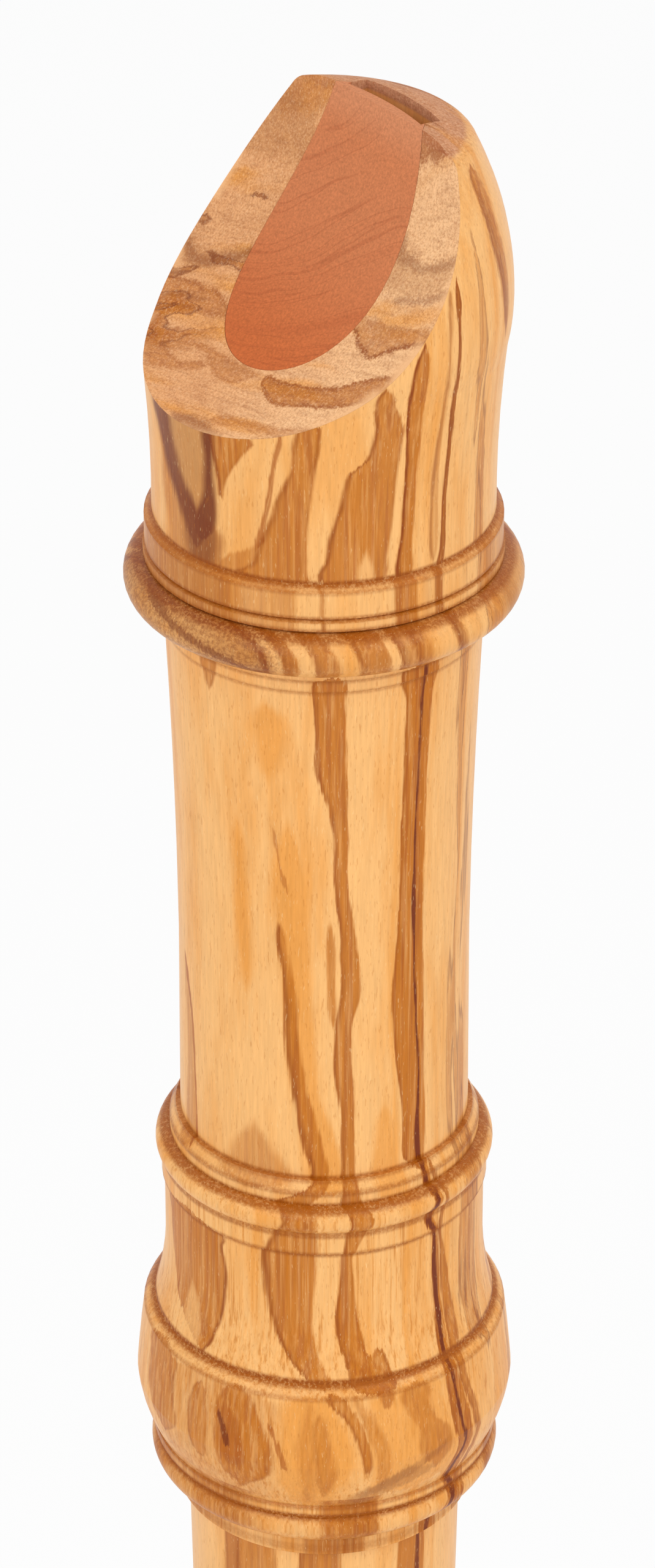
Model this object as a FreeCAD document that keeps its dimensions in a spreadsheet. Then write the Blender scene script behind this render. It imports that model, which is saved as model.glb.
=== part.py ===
"""Soprano recorder in three turned joints, upright, standing on the foot's flat end.

The row frame has +Z up the bore and +Y towards the window and the finger holes.
The thumb hole and the cut-away side of the beak look to -Y, where the player stands.
"""

import FreeCAD, Part
import math
import os
import Sketcher

PARTS_FOLDER = "parts"

# Driving sizes in millimetres
SIZES = {
    # All pieces
    "edge_break": 0.15,
    "overrun": 6.0,
    "running_clearance": 0.05,
    "seat_clearance": 0.03,
    "cork_end_clearance": 0.05,
    "socket_floor_gap": 0.5,
    # Head joint, sizes measured down from the tip
    "head_length": 120.7,
    "tip_crown_radius": 8.9,
    "tip_crown_drop": 0.28,
    "tip_rim_radius": 10.25,
    "tip_rim_drop": 0.8,
    "tip_corner_radius": 10.85,
    "tip_corner_drop": 1.2,
    "tip_round_radius": 11.25,
    "tip_round_drop": 1.85,
    "dome_middle_radius": 13.15,
    "dome_middle_depth": 7.0,
    "shoulder_radius": 13.97,
    "shoulder_depth": 13.6,
    "shoulder_round_radius": 13.85,
    "shoulder_round_depth": 15.5,
    "neck_top_radius": 13.55,
    "neck_top_depth": 17.3,
    "neck_middle_radius": 13.08,
    "neck_middle_depth": 23.0,
    "neck_radius": 12.92,
    "band_radius": 13.5,
    "upper_band_depth": 31.0,
    "upper_band_rise": 0.5,
    "lower_band_depth": 33.6,
    "lower_band_radius": 13.62,
    "ring_groove_depth": 0.22,
    "ring_top_depth": 34.6,
    "ring_crest_depth": 36.35,
    "ring_crest_radius": 15.12,
    "ring_end_depth": 38.3,
    "ring_end_radius": 13.3,
    "first_step_radius": 12.45,
    "first_step_depth": 39.5,
    "second_step_radius": 12.2,
    "second_step_depth": 40.6,
    "barrel_top_radius": 12.08,
    "barrel_upper_radius": 11.62,
    "barrel_upper_depth": 52.0,
    "barrel_waist_radius": 11.33,
    "barrel_waist_depth": 68.0,
    "barrel_end_radius": 11.42,
    # Head joint, sizes measured up from the socket's mouth
    "girdle_height": 36.4,
    "girdle_base_radius": 11.8,
    "girdle_rise": 1.0,
    "girdle_radius": 12.3,
    "girdle_bead_top_height": 34.4,
    "girdle_bead_crest_height": 33.2,
    "girdle_bead_radius": 13.43,
    "girdle_bead_end_height": 32.2,
    "girdle_fillet_radius": 12.97,
    "girdle_fillet_end_height": 30.2,
    "flare_radius": 12.75,
    "flare_start_height": 25.6,
    "flare_middle_radius": 13.1,
    "flare_middle_height": 20.8,
    "flare_end_radius": 13.7,
    "flare_end_height": 18.25,
    "lip_crest_radius": 14.28,
    "lip_crest_height": 17.75,
    "lip_end_radius": 14.52,
    "lip_end_height": 17.35,
    "bulge_top_radius": 14.6,
    "bulge_crest_radius": 15.22,
    "bulge_crest_height": 11.0,
    "bulge_upper_radius": 14.94,
    "bulge_upper_height": 14.2,
    "bulge_lower_radius": 14.78,
    "bulge_lower_height": 8.6,
    "bulge_end_radius": 13.85,
    "bulge_end_height": 6.3,
    "mouth_band_radius": 13.95,
    "mouth_band_end_height": 5.5,
    "mouth_groove_radius": 13.75,
    "mouth_bead_top_height": 5.0,
    "mouth_bead_crest_height": 3.55,
    "mouth_bead_radius": 14.08,
    "mouth_bead_end_height": 2.4,
    "mouth_bead_end_radius": 12.85,
    "mouth_fillet_radius": 12.1,
    "head_bore_end_radius": 7.1,
    "head_bore_radius": 7.3,
    # Beak, windway, window and labium
    "beak_radius": 27.3,
    "beak_centre_back": 21.8,
    "beak_centre_rise": 5.8,
    "block_length": 42.5,
    "windway_half_width": 4.55,
    "windway_arch_rise": 0.4,
    "windway_entry_floor": 5.75,
    "windway_entry_height": 1.75,
    "windway_exit_floor": 6.95,
    "windway_exit_height": 1.05,
    "windway_chamfer": 0.5,
    "window_cutup": 4.2,
    "window_half_width": 4.75,
    "labium_height": 7.45,
    "labium_undercut": 0.12,
    "labium_undercut_length": 7.0,
    "labium_undercut_end": 6.9,
    "ramp_length": 17.0,
    # Middle joint
    "middle_length": 124.3,
    "middle_top_radius": 11.12,
    "middle_upper_radius": 10.52,
    "middle_upper_height": 89.5,
    "middle_lower_radius": 10.2,
    "middle_lower_height": 53.5,
    "middle_end_radius": 10.1,
    "middle_bore_top_radius": 6.75,
    "middle_bore_lower_radius": 5.95,
    "middle_bore_end_radius": 5.05,
    # Upper tenon
    "upper_tenon_length": 22.3,
    "upper_tenon_radius": 9.28,
    "upper_tenon_root": 2.6,
    "upper_tenon_end": 3.3,
    "upper_cork_radius": 9.37,
    "upper_cork_bed_radius": 8.5,
    # Lower tenon
    "lower_tenon_length": 13.6,
    "lower_tenon_radius": 7.85,
    "lower_tenon_root": 2.0,
    "lower_tenon_end": 2.2,
    "lower_cork_radius": 7.95,
    "lower_cork_bed_radius": 7.1,
    # Finger holes, heights up from the lower shoulder of the middle joint
    "thumb_hole_height": 106.5,
    "thumb_hole_radius": 2.6,
    "first_hole_height": 98.5,
    "first_hole_radius": 2.3,
    "second_hole_height": 81.0,
    "second_hole_radius": 2.6,
    "third_hole_height": 64.0,
    "third_hole_radius": 2.7,
    "fourth_hole_height": 43.5,
    "fourth_hole_radius": 2.6,
    "fifth_hole_height": 27.5,
    "fifth_hole_radius": 2.35,
    "sixth_hole_height": 11.5,
    "sixth_hole_large_radius": 1.85,
    "sixth_hole_small_radius": 1.45,
    "seventh_hole_height": 60.5,
    "seventh_hole_large_radius": 1.95,
    "seventh_hole_small_radius": 1.5,
    "double_hole_web": 0.9,
    "hole_rim_radius": 0.25,
    # Foot joint, heights up from its flat end
    "foot_length": 83.0,
    "foot_bore_top_radius": 4.95,
    "foot_bore_radius": 4.65,
    "peg_bore_length": 24.0,
    "foot_end_radius": 11.8,
    "base_bead_height": 0.7,
    "base_bead_start_radius": 12.2,
    "base_bead_radius": 13.5,
    "base_bead_crest_height": 3.5,
    "base_bead_end_radius": 12.45,
    "base_bead_end_height": 6.2,
    "base_fillet_radius": 12.0,
    "base_fillet_end_height": 7.3,
    "bell_radius": 12.7,
    "bell_middle_radius": 10.55,
    "bell_middle_height": 15.5,
    "foot_waist_radius": 9.75,
    "foot_waist_height": 28.0,
    "foot_flare_start_radius": 10.45,
    "foot_flare_start_height": 63.0,
    "foot_flare_middle_radius": 10.93,
    "foot_flare_middle_height": 65.5,
    "foot_flare_end_radius": 12.25,
    "foot_flare_end_height": 67.2,
    "foot_lip_crest_radius": 12.68,
    "foot_lip_crest_height": 67.7,
    "foot_lip_end_radius": 12.75,
    "foot_lip_end_height": 68.1,
    "foot_bulge_top_radius": 12.5,
    "foot_bulge_radius": 13.1,
    "foot_bulge_crest_height": 73.0,
    "foot_bulge_end_radius": 12.45,
    "foot_bulge_end_height": 77.0,
    "foot_band_radius": 12.2,
    "foot_band_end_height": 77.7,
    "foot_groove_radius": 11.95,
    "foot_bead_start_height": 78.4,
    "foot_bead_crest_height": 79.5,
    "foot_bead_radius": 12.4,
    "foot_bead_end_radius": 11.4,
    "foot_bead_end_height": 80.9,
    "foot_mouth_radius": 10.6,
}


class Size:
    """A length that knows its present value and its formula in the sheet."""

    def __init__(self, value, text):
        self.value = value
        self.text = text

    def __add__(self, other):
        return Size(self.value + other.value, f"({self.text} + {other.text})")

    def __sub__(self, other):
        return Size(self.value - other.value, f"({self.text} - {other.text})")

    def __mul__(self, other):
        return Size(self.value * other.value, f"({self.text} * {other.text})")

    def __truediv__(self, other):
        return Size(self.value / other.value, f"({self.text} / {other.text})")

    def half(self):
        return Size(self.value / 2, f"({self.text} / 2)")


class Sizes:
    """The sheet's cells as attributes, each one a Size."""

    def __init__(self, sizes):
        for name, value in sizes.items():
            setattr(self, name, Size(value, "Sizes." + name))


ZERO = Size(0.0, "0")
size = Sizes(SIZES)


def fill_sheet(doc):
    """Write every driving size into the sheet under its own alias."""
    sheet = doc.addObject("Spreadsheet::Sheet", "Sizes")
    for row, (name, value) in enumerate(SIZES.items(), start=1):
        sheet.set(f"A{row}", name)
        sheet.set(f"B{row}", str(value))
        sheet.setAlias(f"B{row}", name)
    return sheet


def make_body(doc, name, height):
    """A body with its own name, standing at a height in the row frame."""
    body = doc.addObject("PartDesign::Body", name)
    body.Label = name
    body.setExpression(".Placement.Base.z", height.text)
    return body


def origin_plane(body, role):
    return next(item for item in body.Origin.OriginFeatures if item.Role == role)


def new_sketch(body, name, role, offset=ZERO):
    """A sketch on one of the body's origin planes, moved along its normal."""
    sketch = body.newObject("Sketcher::SketchObject", name)
    sketch.AttachmentSupport = (origin_plane(body, role), [""])
    sketch.MapMode = "FlatFace"
    sketch.setExpression(".AttachmentOffset.Base.z", offset.text)
    return sketch


def bind(sketch, kind, arguments, length, label):
    """Add a constraint whose length follows the sheet."""
    index = sketch.addConstraint(Sketcher.Constraint(kind, *arguments, length.value))
    sketch.renameConstraint(index, label)
    sketch.setExpression("Constraints." + label, length.text)


def pin_point(sketch, geometry, end, across, up, label):
    """Hold one point of a sketch at (across, up) from the sketch's origin."""
    for kind, length, axis, word in (
        ("DistanceX", across, -2, "_across"),
        ("DistanceY", up, -1, "_up"),
    ):
        if length is ZERO:
            sketch.addConstraint(Sketcher.Constraint("PointOnObject", geometry, end, axis))
        else:
            bind(sketch, kind, (-1, 1, geometry, end), length, label + word)


def negative(length):
    return Size(-length.value, f"(-1 * {length.text})")


def vector(across, up):
    return FreeCAD.Vector(across.value, up.value, 0)


def add_arc(sketch, start, through, end):
    """Add a circular arc through three points and say which end is its first."""
    circle = Part.Arc(start, through, end).toShape().Curve
    turn = (through - start).cross(end - through).z
    first, last = (start, end) if turn > 0 else (end, start)
    angles = [math.atan2(p.y - circle.Center.y, p.x - circle.Center.x) for p in (first, last)]
    flat = Part.Circle(circle.Center, FreeCAD.Vector(0, 0, 1), circle.Radius)
    geometry = sketch.addGeometry(Part.ArcOfCircle(flat, *angles), False)
    return geometry, (1, 2) if turn > 0 else (2, 1)


def draw_outline(sketch, steps):
    """Draw a closed outline: each step is (point) for a line, (through, point) for an arc."""
    points = [step[-1] for step in steps]
    pieces = []
    for index, step in enumerate(steps):
        start = vector(*points[index - 1])
        end = vector(*points[index])
        if len(step) == 1:
            geometry = sketch.addGeometry(Part.LineSegment(start, end), False)
            ends = (1, 2)
        else:
            geometry, ends = add_arc(sketch, start, vector(*step[0]), end)
            marker = sketch.addGeometry(Part.Point(vector(*step[0])), True)
            sketch.addConstraint(Sketcher.Constraint("PointOnObject", marker, 1, geometry))
            pin_point(sketch, marker, 1, *step[0], f"through_{index}")
        pieces.append((geometry, ends))
    for index, (geometry, ends) in enumerate(pieces):
        before, before_ends = pieces[index - 1]
        sketch.addConstraint(
            Sketcher.Constraint("Coincident", before, before_ends[1], geometry, ends[0])
        )
        pin_point(sketch, geometry, ends[1], *points[index], f"point_{index}")


def turn_outline(body, name, steps):
    """Turn an outline of (radius, height) points about the body's Z axis."""
    sketch = new_sketch(body, name + "_outline", "XZ_Plane")
    draw_outline(sketch, steps)
    feature = body.newObject("PartDesign::Revolution", name)
    feature.Profile = sketch
    feature.ReferenceAxis = (sketch, ["V_Axis"])
    feature.Angle = 360
    return feature


def cut_through(body, name, sketch, side, backwards=False):
    """Cut a sketch right through the body, on one side of its plane or on both."""
    feature = body.newObject("PartDesign::Pocket", name)
    feature.Profile = sketch
    feature.Type = "ThroughAll"
    feature.SideType = side
    feature.Reversed = backwards
    return feature


def arch_section(body, name, height, half_width, floor, top):
    """A four-sided section across the windway: both long sides have the same arch."""
    rise = size.windway_arch_rise
    left = negative(half_width)
    sketch = new_sketch(body, name, "XY_Plane", height)
    draw_outline(sketch, [
        ((left, floor - rise),),
        ((ZERO, floor), (half_width, floor - rise)),
        ((half_width, top - rise),),
        ((ZERO, top), (left, top - rise)),
    ])
    return sketch


def cut_between(body, name, first, second):
    """Cut the straight loft between two sections."""
    feature = body.newObject("PartDesign::SubtractiveLoft", name)
    feature.Profile = first
    feature.Sections = [(second, [""])]
    feature.Ruled = True
    return feature


def cut_beak(body, top):
    """Cut away the back of the beak with a large round cutter that lies along X."""
    sketch = new_sketch(body, "beak_circle", "YZ_Plane")
    centre = FreeCAD.Vector(-SIZES["beak_centre_back"], (top + size.beak_centre_rise).value, 0)
    circle = Part.Circle(centre, FreeCAD.Vector(0, 0, 1), SIZES["beak_radius"])
    geometry = sketch.addGeometry(circle, False)
    bind(sketch, "Radius", (geometry,), size.beak_radius, "beak_radius")
    pin_point(
        sketch, geometry, 3, negative(size.beak_centre_back), top + size.beak_centre_rise, "centre"
    )
    return cut_through(body, "beak_cut", sketch, "Symmetric")


def cut_windway(body, top):
    """Cut the tapering windway from above the tip down to the block's lower end."""
    length = size.block_length
    run = (length + size.overrun) / length
    floor_slope = (size.windway_entry_floor - size.windway_exit_floor) * run
    entry_roof = size.windway_entry_floor + size.windway_entry_height
    exit_roof = size.windway_exit_floor + size.windway_exit_height
    roof_slope = (entry_roof - exit_roof) * run
    entry = arch_section(
        body, "windway_entry", top + size.overrun, size.windway_half_width,
        size.windway_exit_floor + floor_slope, exit_roof + roof_slope,
    )
    exit_end = arch_section(
        body, "windway_exit", top - length, size.windway_half_width,
        size.windway_exit_floor, exit_roof,
    )
    return cut_between(body, "windway", entry, exit_end)


def draw_hole(sketch, across, up, radius, label):
    """Draw one finger hole as a circle at (across, up)."""
    circle = Part.Circle(vector(across, up), FreeCAD.Vector(0, 0, 1), radius.value)
    geometry = sketch.addGeometry(circle, False)
    bind(sketch, "Radius", (geometry,), radius, label + "_radius")
    pin_point(sketch, geometry, 3, across, up, label)


def draw_double_hole(sketch, up, large, small, label):
    """Draw a large hole on the player's right and a small one on their left, as a centred pair."""
    middle = (large - small).half()
    reach = (large + small + size.double_hole_web).half()
    draw_hole(sketch, reach - middle, up, large, label + "_large")
    draw_hole(sketch, negative(middle + reach), up, small, label + "_small")


def rim_edges(shape, bore_radius):
    """Names of the closed edges where finger holes meet the outside of a joint."""
    names = []
    for index, edge in enumerate(shape.Edges, start=1):
        box = edge.BoundBox
        across_bore = abs(box.Center.y) > bore_radius and box.YLength < box.XLength / 2
        if edge.isClosed() and across_bore and box.ZLength > box.YLength:
            names.append(f"Edge{index}")
    return names


def round_edges(body, name, base, edges, radius):
    """Round sharp edges by a small radius."""
    feature = body.newObject("PartDesign::Fillet", name)
    feature.Base = (base, edges)
    feature.setExpression("Radius", radius.text)
    return feature


def head_joint(doc):
    """Head joint, from the socket's mouth at the bottom to the beak's tip."""
    body = make_body(doc, "head_joint", size.foot_length + size.middle_length)
    top = size.head_length
    e = size.edge_break

    def down(depth):
        return top - depth

    socket_radius = size.upper_cork_radius + size.running_clearance
    socket_depth = size.upper_tenon_length + size.socket_floor_gap
    steps = [
        ((size.head_bore_radius, down(size.block_length)),),
        ((size.head_bore_radius, top),),
        (
            (size.tip_crown_radius, down(size.tip_crown_drop)),
            (size.tip_rim_radius, down(size.tip_rim_drop)),
        ),
        (
            (size.tip_corner_radius, down(size.tip_corner_drop)),
            (size.tip_round_radius, down(size.tip_round_drop)),
        ),
        (
            (size.dome_middle_radius, down(size.dome_middle_depth)),
            (size.shoulder_radius, down(size.shoulder_depth)),
        ),
        (
            (size.shoulder_round_radius, down(size.shoulder_round_depth)),
            (size.neck_top_radius, down(size.neck_top_depth)),
        ),
        (
            (size.neck_middle_radius, down(size.neck_middle_depth)),
            (size.neck_radius, down(size.upper_band_depth)),
        ),
        ((size.band_radius, down(size.upper_band_depth + size.upper_band_rise)),),
        ((size.band_radius, down(size.lower_band_depth)),),
        ((size.band_radius - size.ring_groove_depth, down(size.lower_band_depth + e)),),
        ((size.lower_band_radius, down(size.lower_band_depth + e + e)),),
        ((size.lower_band_radius, down(size.ring_top_depth)),),
        ((size.lower_band_radius - size.ring_groove_depth, down(size.ring_top_depth + e)),),
        (
            (size.ring_crest_radius, down(size.ring_crest_depth)),
            (size.ring_end_radius, down(size.ring_end_depth)),
        ),
        ((size.first_step_radius, down(size.ring_end_depth)),),
        ((size.first_step_radius, down(size.first_step_depth - e)),),
        ((size.first_step_radius - e, down(size.first_step_depth)),),
        ((size.second_step_radius, down(size.first_step_depth)),),
        ((size.second_step_radius, down(size.second_step_depth - e)),),
        ((size.barrel_top_radius, down(size.second_step_depth)),),
        (
            (size.barrel_upper_radius, down(size.barrel_upper_depth)),
            (size.barrel_waist_radius, down(size.barrel_waist_depth)),
        ),
        ((size.barrel_end_radius, size.girdle_height),),
        ((size.girdle_base_radius, size.girdle_height),),
        ((size.girdle_radius, size.girdle_height - size.girdle_rise),),
        ((size.girdle_radius, size.girdle_bead_top_height),),
        (
            (size.girdle_bead_radius, size.girdle_bead_crest_height),
            (size.girdle_fillet_radius, size.girdle_bead_end_height),
        ),
        ((size.girdle_fillet_radius, size.girdle_fillet_end_height),),
        ((size.flare_radius, size.girdle_fillet_end_height - e),),
        ((size.flare_radius, size.flare_start_height),),
        (
            (size.flare_middle_radius, size.flare_middle_height),
            (size.flare_end_radius, size.flare_end_height),
        ),
        (
            (size.lip_crest_radius, size.lip_crest_height),
            (size.lip_end_radius, size.lip_end_height),
        ),
        ((size.bulge_top_radius, size.lip_end_height - e),),
        (
            (size.bulge_upper_radius, size.bulge_upper_height),
            (size.bulge_crest_radius, size.bulge_crest_height),
        ),
        (
            (size.bulge_lower_radius, size.bulge_lower_height),
            (size.bulge_end_radius, size.bulge_end_height),
        ),
        ((size.mouth_band_radius, size.bulge_end_height - e),),
        ((size.mouth_band_radius, size.mouth_band_end_height),),
        ((size.mouth_groove_radius, size.mouth_bead_top_height),),
        (
            (size.mouth_bead_radius, size.mouth_bead_crest_height),
            (size.mouth_bead_end_radius, size.mouth_bead_end_height),
        ),
        ((size.mouth_fillet_radius, size.mouth_bead_end_height),),
        ((size.mouth_fillet_radius, e),),
        ((size.mouth_fillet_radius - e, ZERO),),
        ((socket_radius + e, ZERO),),
        ((socket_radius, e),),
        ((socket_radius, socket_depth),),
        ((size.head_bore_end_radius, socket_depth),),
    ]
    turn_outline(body, "turned_head", steps)
    cut_beak(body, top)
    cut_windway(body, top)
    bevel_roof(body, top)
    cut_window(body, top)
    cut_ramp(body, top)
    cut_undercut(body, top)
    return body


def cut_bevel(body, name, corners):
    """Cut a three-sided bevel at the windway's exit, as wide as the windway."""
    sketch = new_sketch(body, name + "_outline", "YZ_Plane")
    draw_outline(sketch, [(corner,) for corner in corners])
    feature = body.newObject("PartDesign::Pocket", name)
    feature.Profile = sketch
    feature.Type = "Length"
    feature.SideType = "Symmetric"
    feature.setExpression("Length", (size.windway_half_width + size.windway_half_width).text)
    return feature


def bevel_roof(body, top):
    """Bevel the roof's lower edge, where the windway opens into the window."""
    c = size.windway_chamfer
    upper = top - size.block_length
    inside = size.windway_exit_floor + size.windway_exit_height - size.windway_arch_rise - c
    outside = size.windway_exit_floor + size.windway_exit_height + c
    return cut_bevel(body, "roof_bevel", [
        (inside, upper),
        (outside, upper),
        (inside, upper + outside - inside),
    ])


def bevel_floor(body):
    """Bevel the floor's lower edge on the block."""
    c = size.windway_chamfer
    inside = size.windway_exit_floor - c
    outside = size.windway_exit_floor + c
    return cut_bevel(body, "floor_bevel", [
        (inside, ZERO),
        (outside, ZERO),
        (outside, outside - inside),
    ])


def labium_edge(top):
    return top - size.block_length - size.window_cutup


def cut_window(body, top):
    """Cut the window through the front wall, from the windway's end to the labium."""
    half = size.window_half_width
    left = negative(half)
    upper = top - size.block_length
    lower = labium_edge(top)
    sketch = new_sketch(body, "window_outline", "XZ_Plane")
    draw_outline(sketch, [
        ((left, lower),),
        ((half, lower),),
        ((half, upper),),
        ((left, upper),),
    ])
    return cut_through(body, "window", sketch, "One side")


def cut_ramp(body, top):
    """Cut the labium's ramp, from its thin edge out to the barrel's surface."""
    outside = size.shoulder_radius + size.overrun
    edge = arch_section(
        body, "ramp_edge", labium_edge(top), size.window_half_width,
        size.labium_height, outside,
    )
    end = arch_section(
        body, "ramp_end", labium_edge(top) - size.ramp_length, size.window_half_width,
        size.barrel_top_radius, outside,
    )
    return cut_between(body, "ramp", edge, end)


def cut_undercut(body, top):
    """Cut the labium's underside, so that its edge is as thin across its whole width."""
    inside = size.windway_entry_height
    edge = arch_section(
        body, "undercut_edge", labium_edge(top) + size.labium_undercut, size.window_half_width,
        size.labium_height - size.labium_undercut - inside,
        size.labium_height - size.labium_undercut,
    )
    end = arch_section(
        body, "undercut_end", labium_edge(top) - size.labium_undercut_length,
        size.window_half_width, size.labium_undercut_end - inside, size.labium_undercut_end,
    )
    return cut_between(body, "undercut", edge, end)


def block(doc):
    """Cedar block, from the window at the bottom to the beak's tip."""
    base = size.foot_length + size.middle_length + size.head_length - size.block_length
    body = make_body(doc, "block", base)
    top = size.block_length
    radius = size.head_bore_radius - size.seat_clearance
    e = size.edge_break
    turn_outline(body, "turned_block", [
        ((ZERO, ZERO),),
        ((radius - e, ZERO),),
        ((radius, e),),
        ((radius, top),),
        ((ZERO, top),),
    ])
    cut_beak(body, top)
    cut_windway(body, top)
    bevel_floor(body)
    return body


def tenon(radius, bed_radius, root, length, end, shoulder, way):
    """Outline points of a tenon from its shoulder to its end, way being +1 or -1."""
    e = size.edge_break

    def out(distance):
        return shoulder + distance if way > 0 else shoulder - distance

    return [
        ((radius, shoulder),),
        ((radius, out(root)),),
        ((bed_radius, out(root)),),
        ((bed_radius, out(length - end)),),
        ((radius, out(length - end)),),
        ((radius, out(length - e)),),
        ((radius - e, out(length)),),
    ]


def middle_joint(doc):
    """Middle joint with its two tenons; its own zero is the lower shoulder."""
    body = make_body(doc, "middle_joint", size.foot_length)
    upper = tenon(
        size.upper_tenon_radius, size.upper_cork_bed_radius, size.upper_tenon_root,
        size.upper_tenon_length, size.upper_tenon_end, size.middle_length, 1,
    )
    lower = tenon(
        size.lower_tenon_radius, size.lower_cork_bed_radius, size.lower_tenon_root,
        size.lower_tenon_length, size.lower_tenon_end, ZERO, -1,
    )
    e = size.edge_break
    bore_top = size.middle_length + size.upper_tenon_length
    steps = [
        ((size.middle_bore_end_radius, negative(size.lower_tenon_length)),),
        ((size.middle_bore_lower_radius, size.middle_lower_height),),
        ((size.middle_bore_top_radius, bore_top),),
        *reversed(upper),
        ((size.middle_top_radius - e, size.middle_length),),
        ((size.middle_top_radius, size.middle_length - e),),
        ((size.middle_upper_radius, size.middle_upper_height),),
        ((size.middle_lower_radius, size.middle_lower_height),),
        ((size.middle_end_radius, e),),
        ((size.middle_end_radius - e, ZERO),),
        *lower,
    ]
    turn_outline(body, "turned_middle", steps)
    fingers = new_sketch(body, "finger_hole_circles", "XZ_Plane")
    for name in ("first", "second", "third", "fourth", "fifth"):
        draw_hole(
            fingers, ZERO, getattr(size, name + "_hole_height"),
            getattr(size, name + "_hole_radius"), name,
        )
    draw_double_hole(
        fingers, size.sixth_hole_height, size.sixth_hole_large_radius,
        size.sixth_hole_small_radius, "sixth",
    )
    cut_through(body, "finger_holes", fingers, "One side")
    thumb = new_sketch(body, "thumb_hole_circle", "XZ_Plane")
    draw_hole(thumb, ZERO, size.thumb_hole_height, size.thumb_hole_radius, "thumb")
    drilled = cut_through(body, "thumb_hole", thumb, "One side", True)
    doc.recompute()
    rims = rim_edges(drilled.Shape, size.upper_tenon_radius.value)
    round_edges(body, "hole_rims", drilled, rims, size.hole_rim_radius)
    return body


def foot_joint(doc):
    """Foot joint, from its flat end up to the socket's mouth."""
    body = make_body(doc, "foot_joint", ZERO)
    e = size.edge_break
    top = size.foot_length
    socket_radius = size.lower_cork_radius + size.running_clearance
    socket_floor = top - size.lower_tenon_length - size.socket_floor_gap
    turn_outline(body, "turned_foot", [
        ((size.foot_bore_radius + e, ZERO),),
        ((size.foot_end_radius, ZERO),),
        ((size.base_bead_start_radius, size.base_bead_height),),
        (
            (size.base_bead_radius, size.base_bead_crest_height),
            (size.base_bead_end_radius, size.base_bead_end_height),
        ),
        ((size.base_fillet_radius, size.base_bead_end_height),),
        ((size.base_fillet_radius, size.base_fillet_end_height),),
        ((size.bell_radius - e, size.base_fillet_end_height),),
        ((size.bell_radius, size.base_fillet_end_height + e),),
        (
            (size.bell_middle_radius, size.bell_middle_height),
            (size.foot_waist_radius, size.foot_waist_height),
        ),
        ((size.foot_flare_start_radius, size.foot_flare_start_height),),
        (
            (size.foot_flare_middle_radius, size.foot_flare_middle_height),
            (size.foot_flare_end_radius, size.foot_flare_end_height),
        ),
        (
            (size.foot_lip_crest_radius, size.foot_lip_crest_height),
            (size.foot_lip_end_radius, size.foot_lip_end_height),
        ),
        ((size.foot_bulge_top_radius, size.foot_lip_end_height + e),),
        (
            (size.foot_bulge_radius, size.foot_bulge_crest_height),
            (size.foot_bulge_end_radius, size.foot_bulge_end_height),
        ),
        ((size.foot_band_radius, size.foot_bulge_end_height + e),),
        ((size.foot_band_radius, size.foot_band_end_height),),
        ((size.foot_groove_radius, size.foot_bead_start_height),),
        (
            (size.foot_bead_radius, size.foot_bead_crest_height),
            (size.foot_bead_end_radius, size.foot_bead_end_height),
        ),
        ((size.foot_mouth_radius, size.foot_bead_end_height),),
        ((size.foot_mouth_radius, top - e),),
        ((size.foot_mouth_radius - e, top),),
        ((socket_radius + e, top),),
        ((socket_radius, top - e),),
        ((socket_radius, socket_floor),),
        ((size.foot_bore_top_radius, socket_floor),),
        ((size.foot_bore_radius, size.peg_bore_length),),
        ((size.foot_bore_radius, e),),
    ])
    pair = new_sketch(body, "seventh_hole_circles", "XZ_Plane")
    draw_double_hole(
        pair, size.seventh_hole_height, size.seventh_hole_large_radius,
        size.seventh_hole_small_radius, "seventh",
    )
    drilled = cut_through(body, "seventh_hole", pair, "One side")
    doc.recompute()
    rims = rim_edges(drilled.Shape, size.foot_waist_radius.value)
    round_edges(body, "hole_rims", drilled, rims, size.hole_rim_radius)
    return body


def tenon_cork(doc, name, base, bed_radius, outer_radius, length):
    """A cork sleeve that fills the recess of a tenon."""
    body = make_body(doc, name, base + size.cork_end_clearance)
    inner = bed_radius + size.seat_clearance
    height = length - size.cork_end_clearance - size.cork_end_clearance
    e = size.edge_break
    turn_outline(body, "turned_cork", [
        ((inner, ZERO),),
        ((outer_radius - e, ZERO),),
        ((outer_radius, e),),
        ((outer_radius, height - e),),
        ((outer_radius - e, height),),
        ((inner, height),),
    ])
    return body


def head_tenon_cork(doc):
    base = size.foot_length + size.middle_length + size.upper_tenon_root
    length = size.upper_tenon_length - size.upper_tenon_root - size.upper_tenon_end
    return tenon_cork(
        doc, "head_tenon_cork", base, size.upper_cork_bed_radius, size.upper_cork_radius, length
    )


def foot_tenon_cork(doc):
    base = size.foot_length - size.lower_tenon_length + size.lower_tenon_end
    length = size.lower_tenon_length - size.lower_tenon_root - size.lower_tenon_end
    return tenon_cork(
        doc, "foot_tenon_cork", base, size.lower_cork_bed_radius, size.lower_cork_radius, length
    )


def check_document(doc):
    """Stop if any object failed or a cut removed nothing."""
    for item in doc.Objects:
        if "Invalid" in item.State or "Error" in item.State:
            raise RuntimeError(f"{item.Label} is {item.State}")
        base = getattr(item, "BaseFeature", None)
        cuts = ("PartDesign::Pocket", "PartDesign::SubtractiveLoft", "PartDesign::Fillet")
        if item.TypeId in cuts and item.Shape.Volume >= base.Shape.Volume:
            raise RuntimeError(f"{item.Label} cut nothing")


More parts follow.
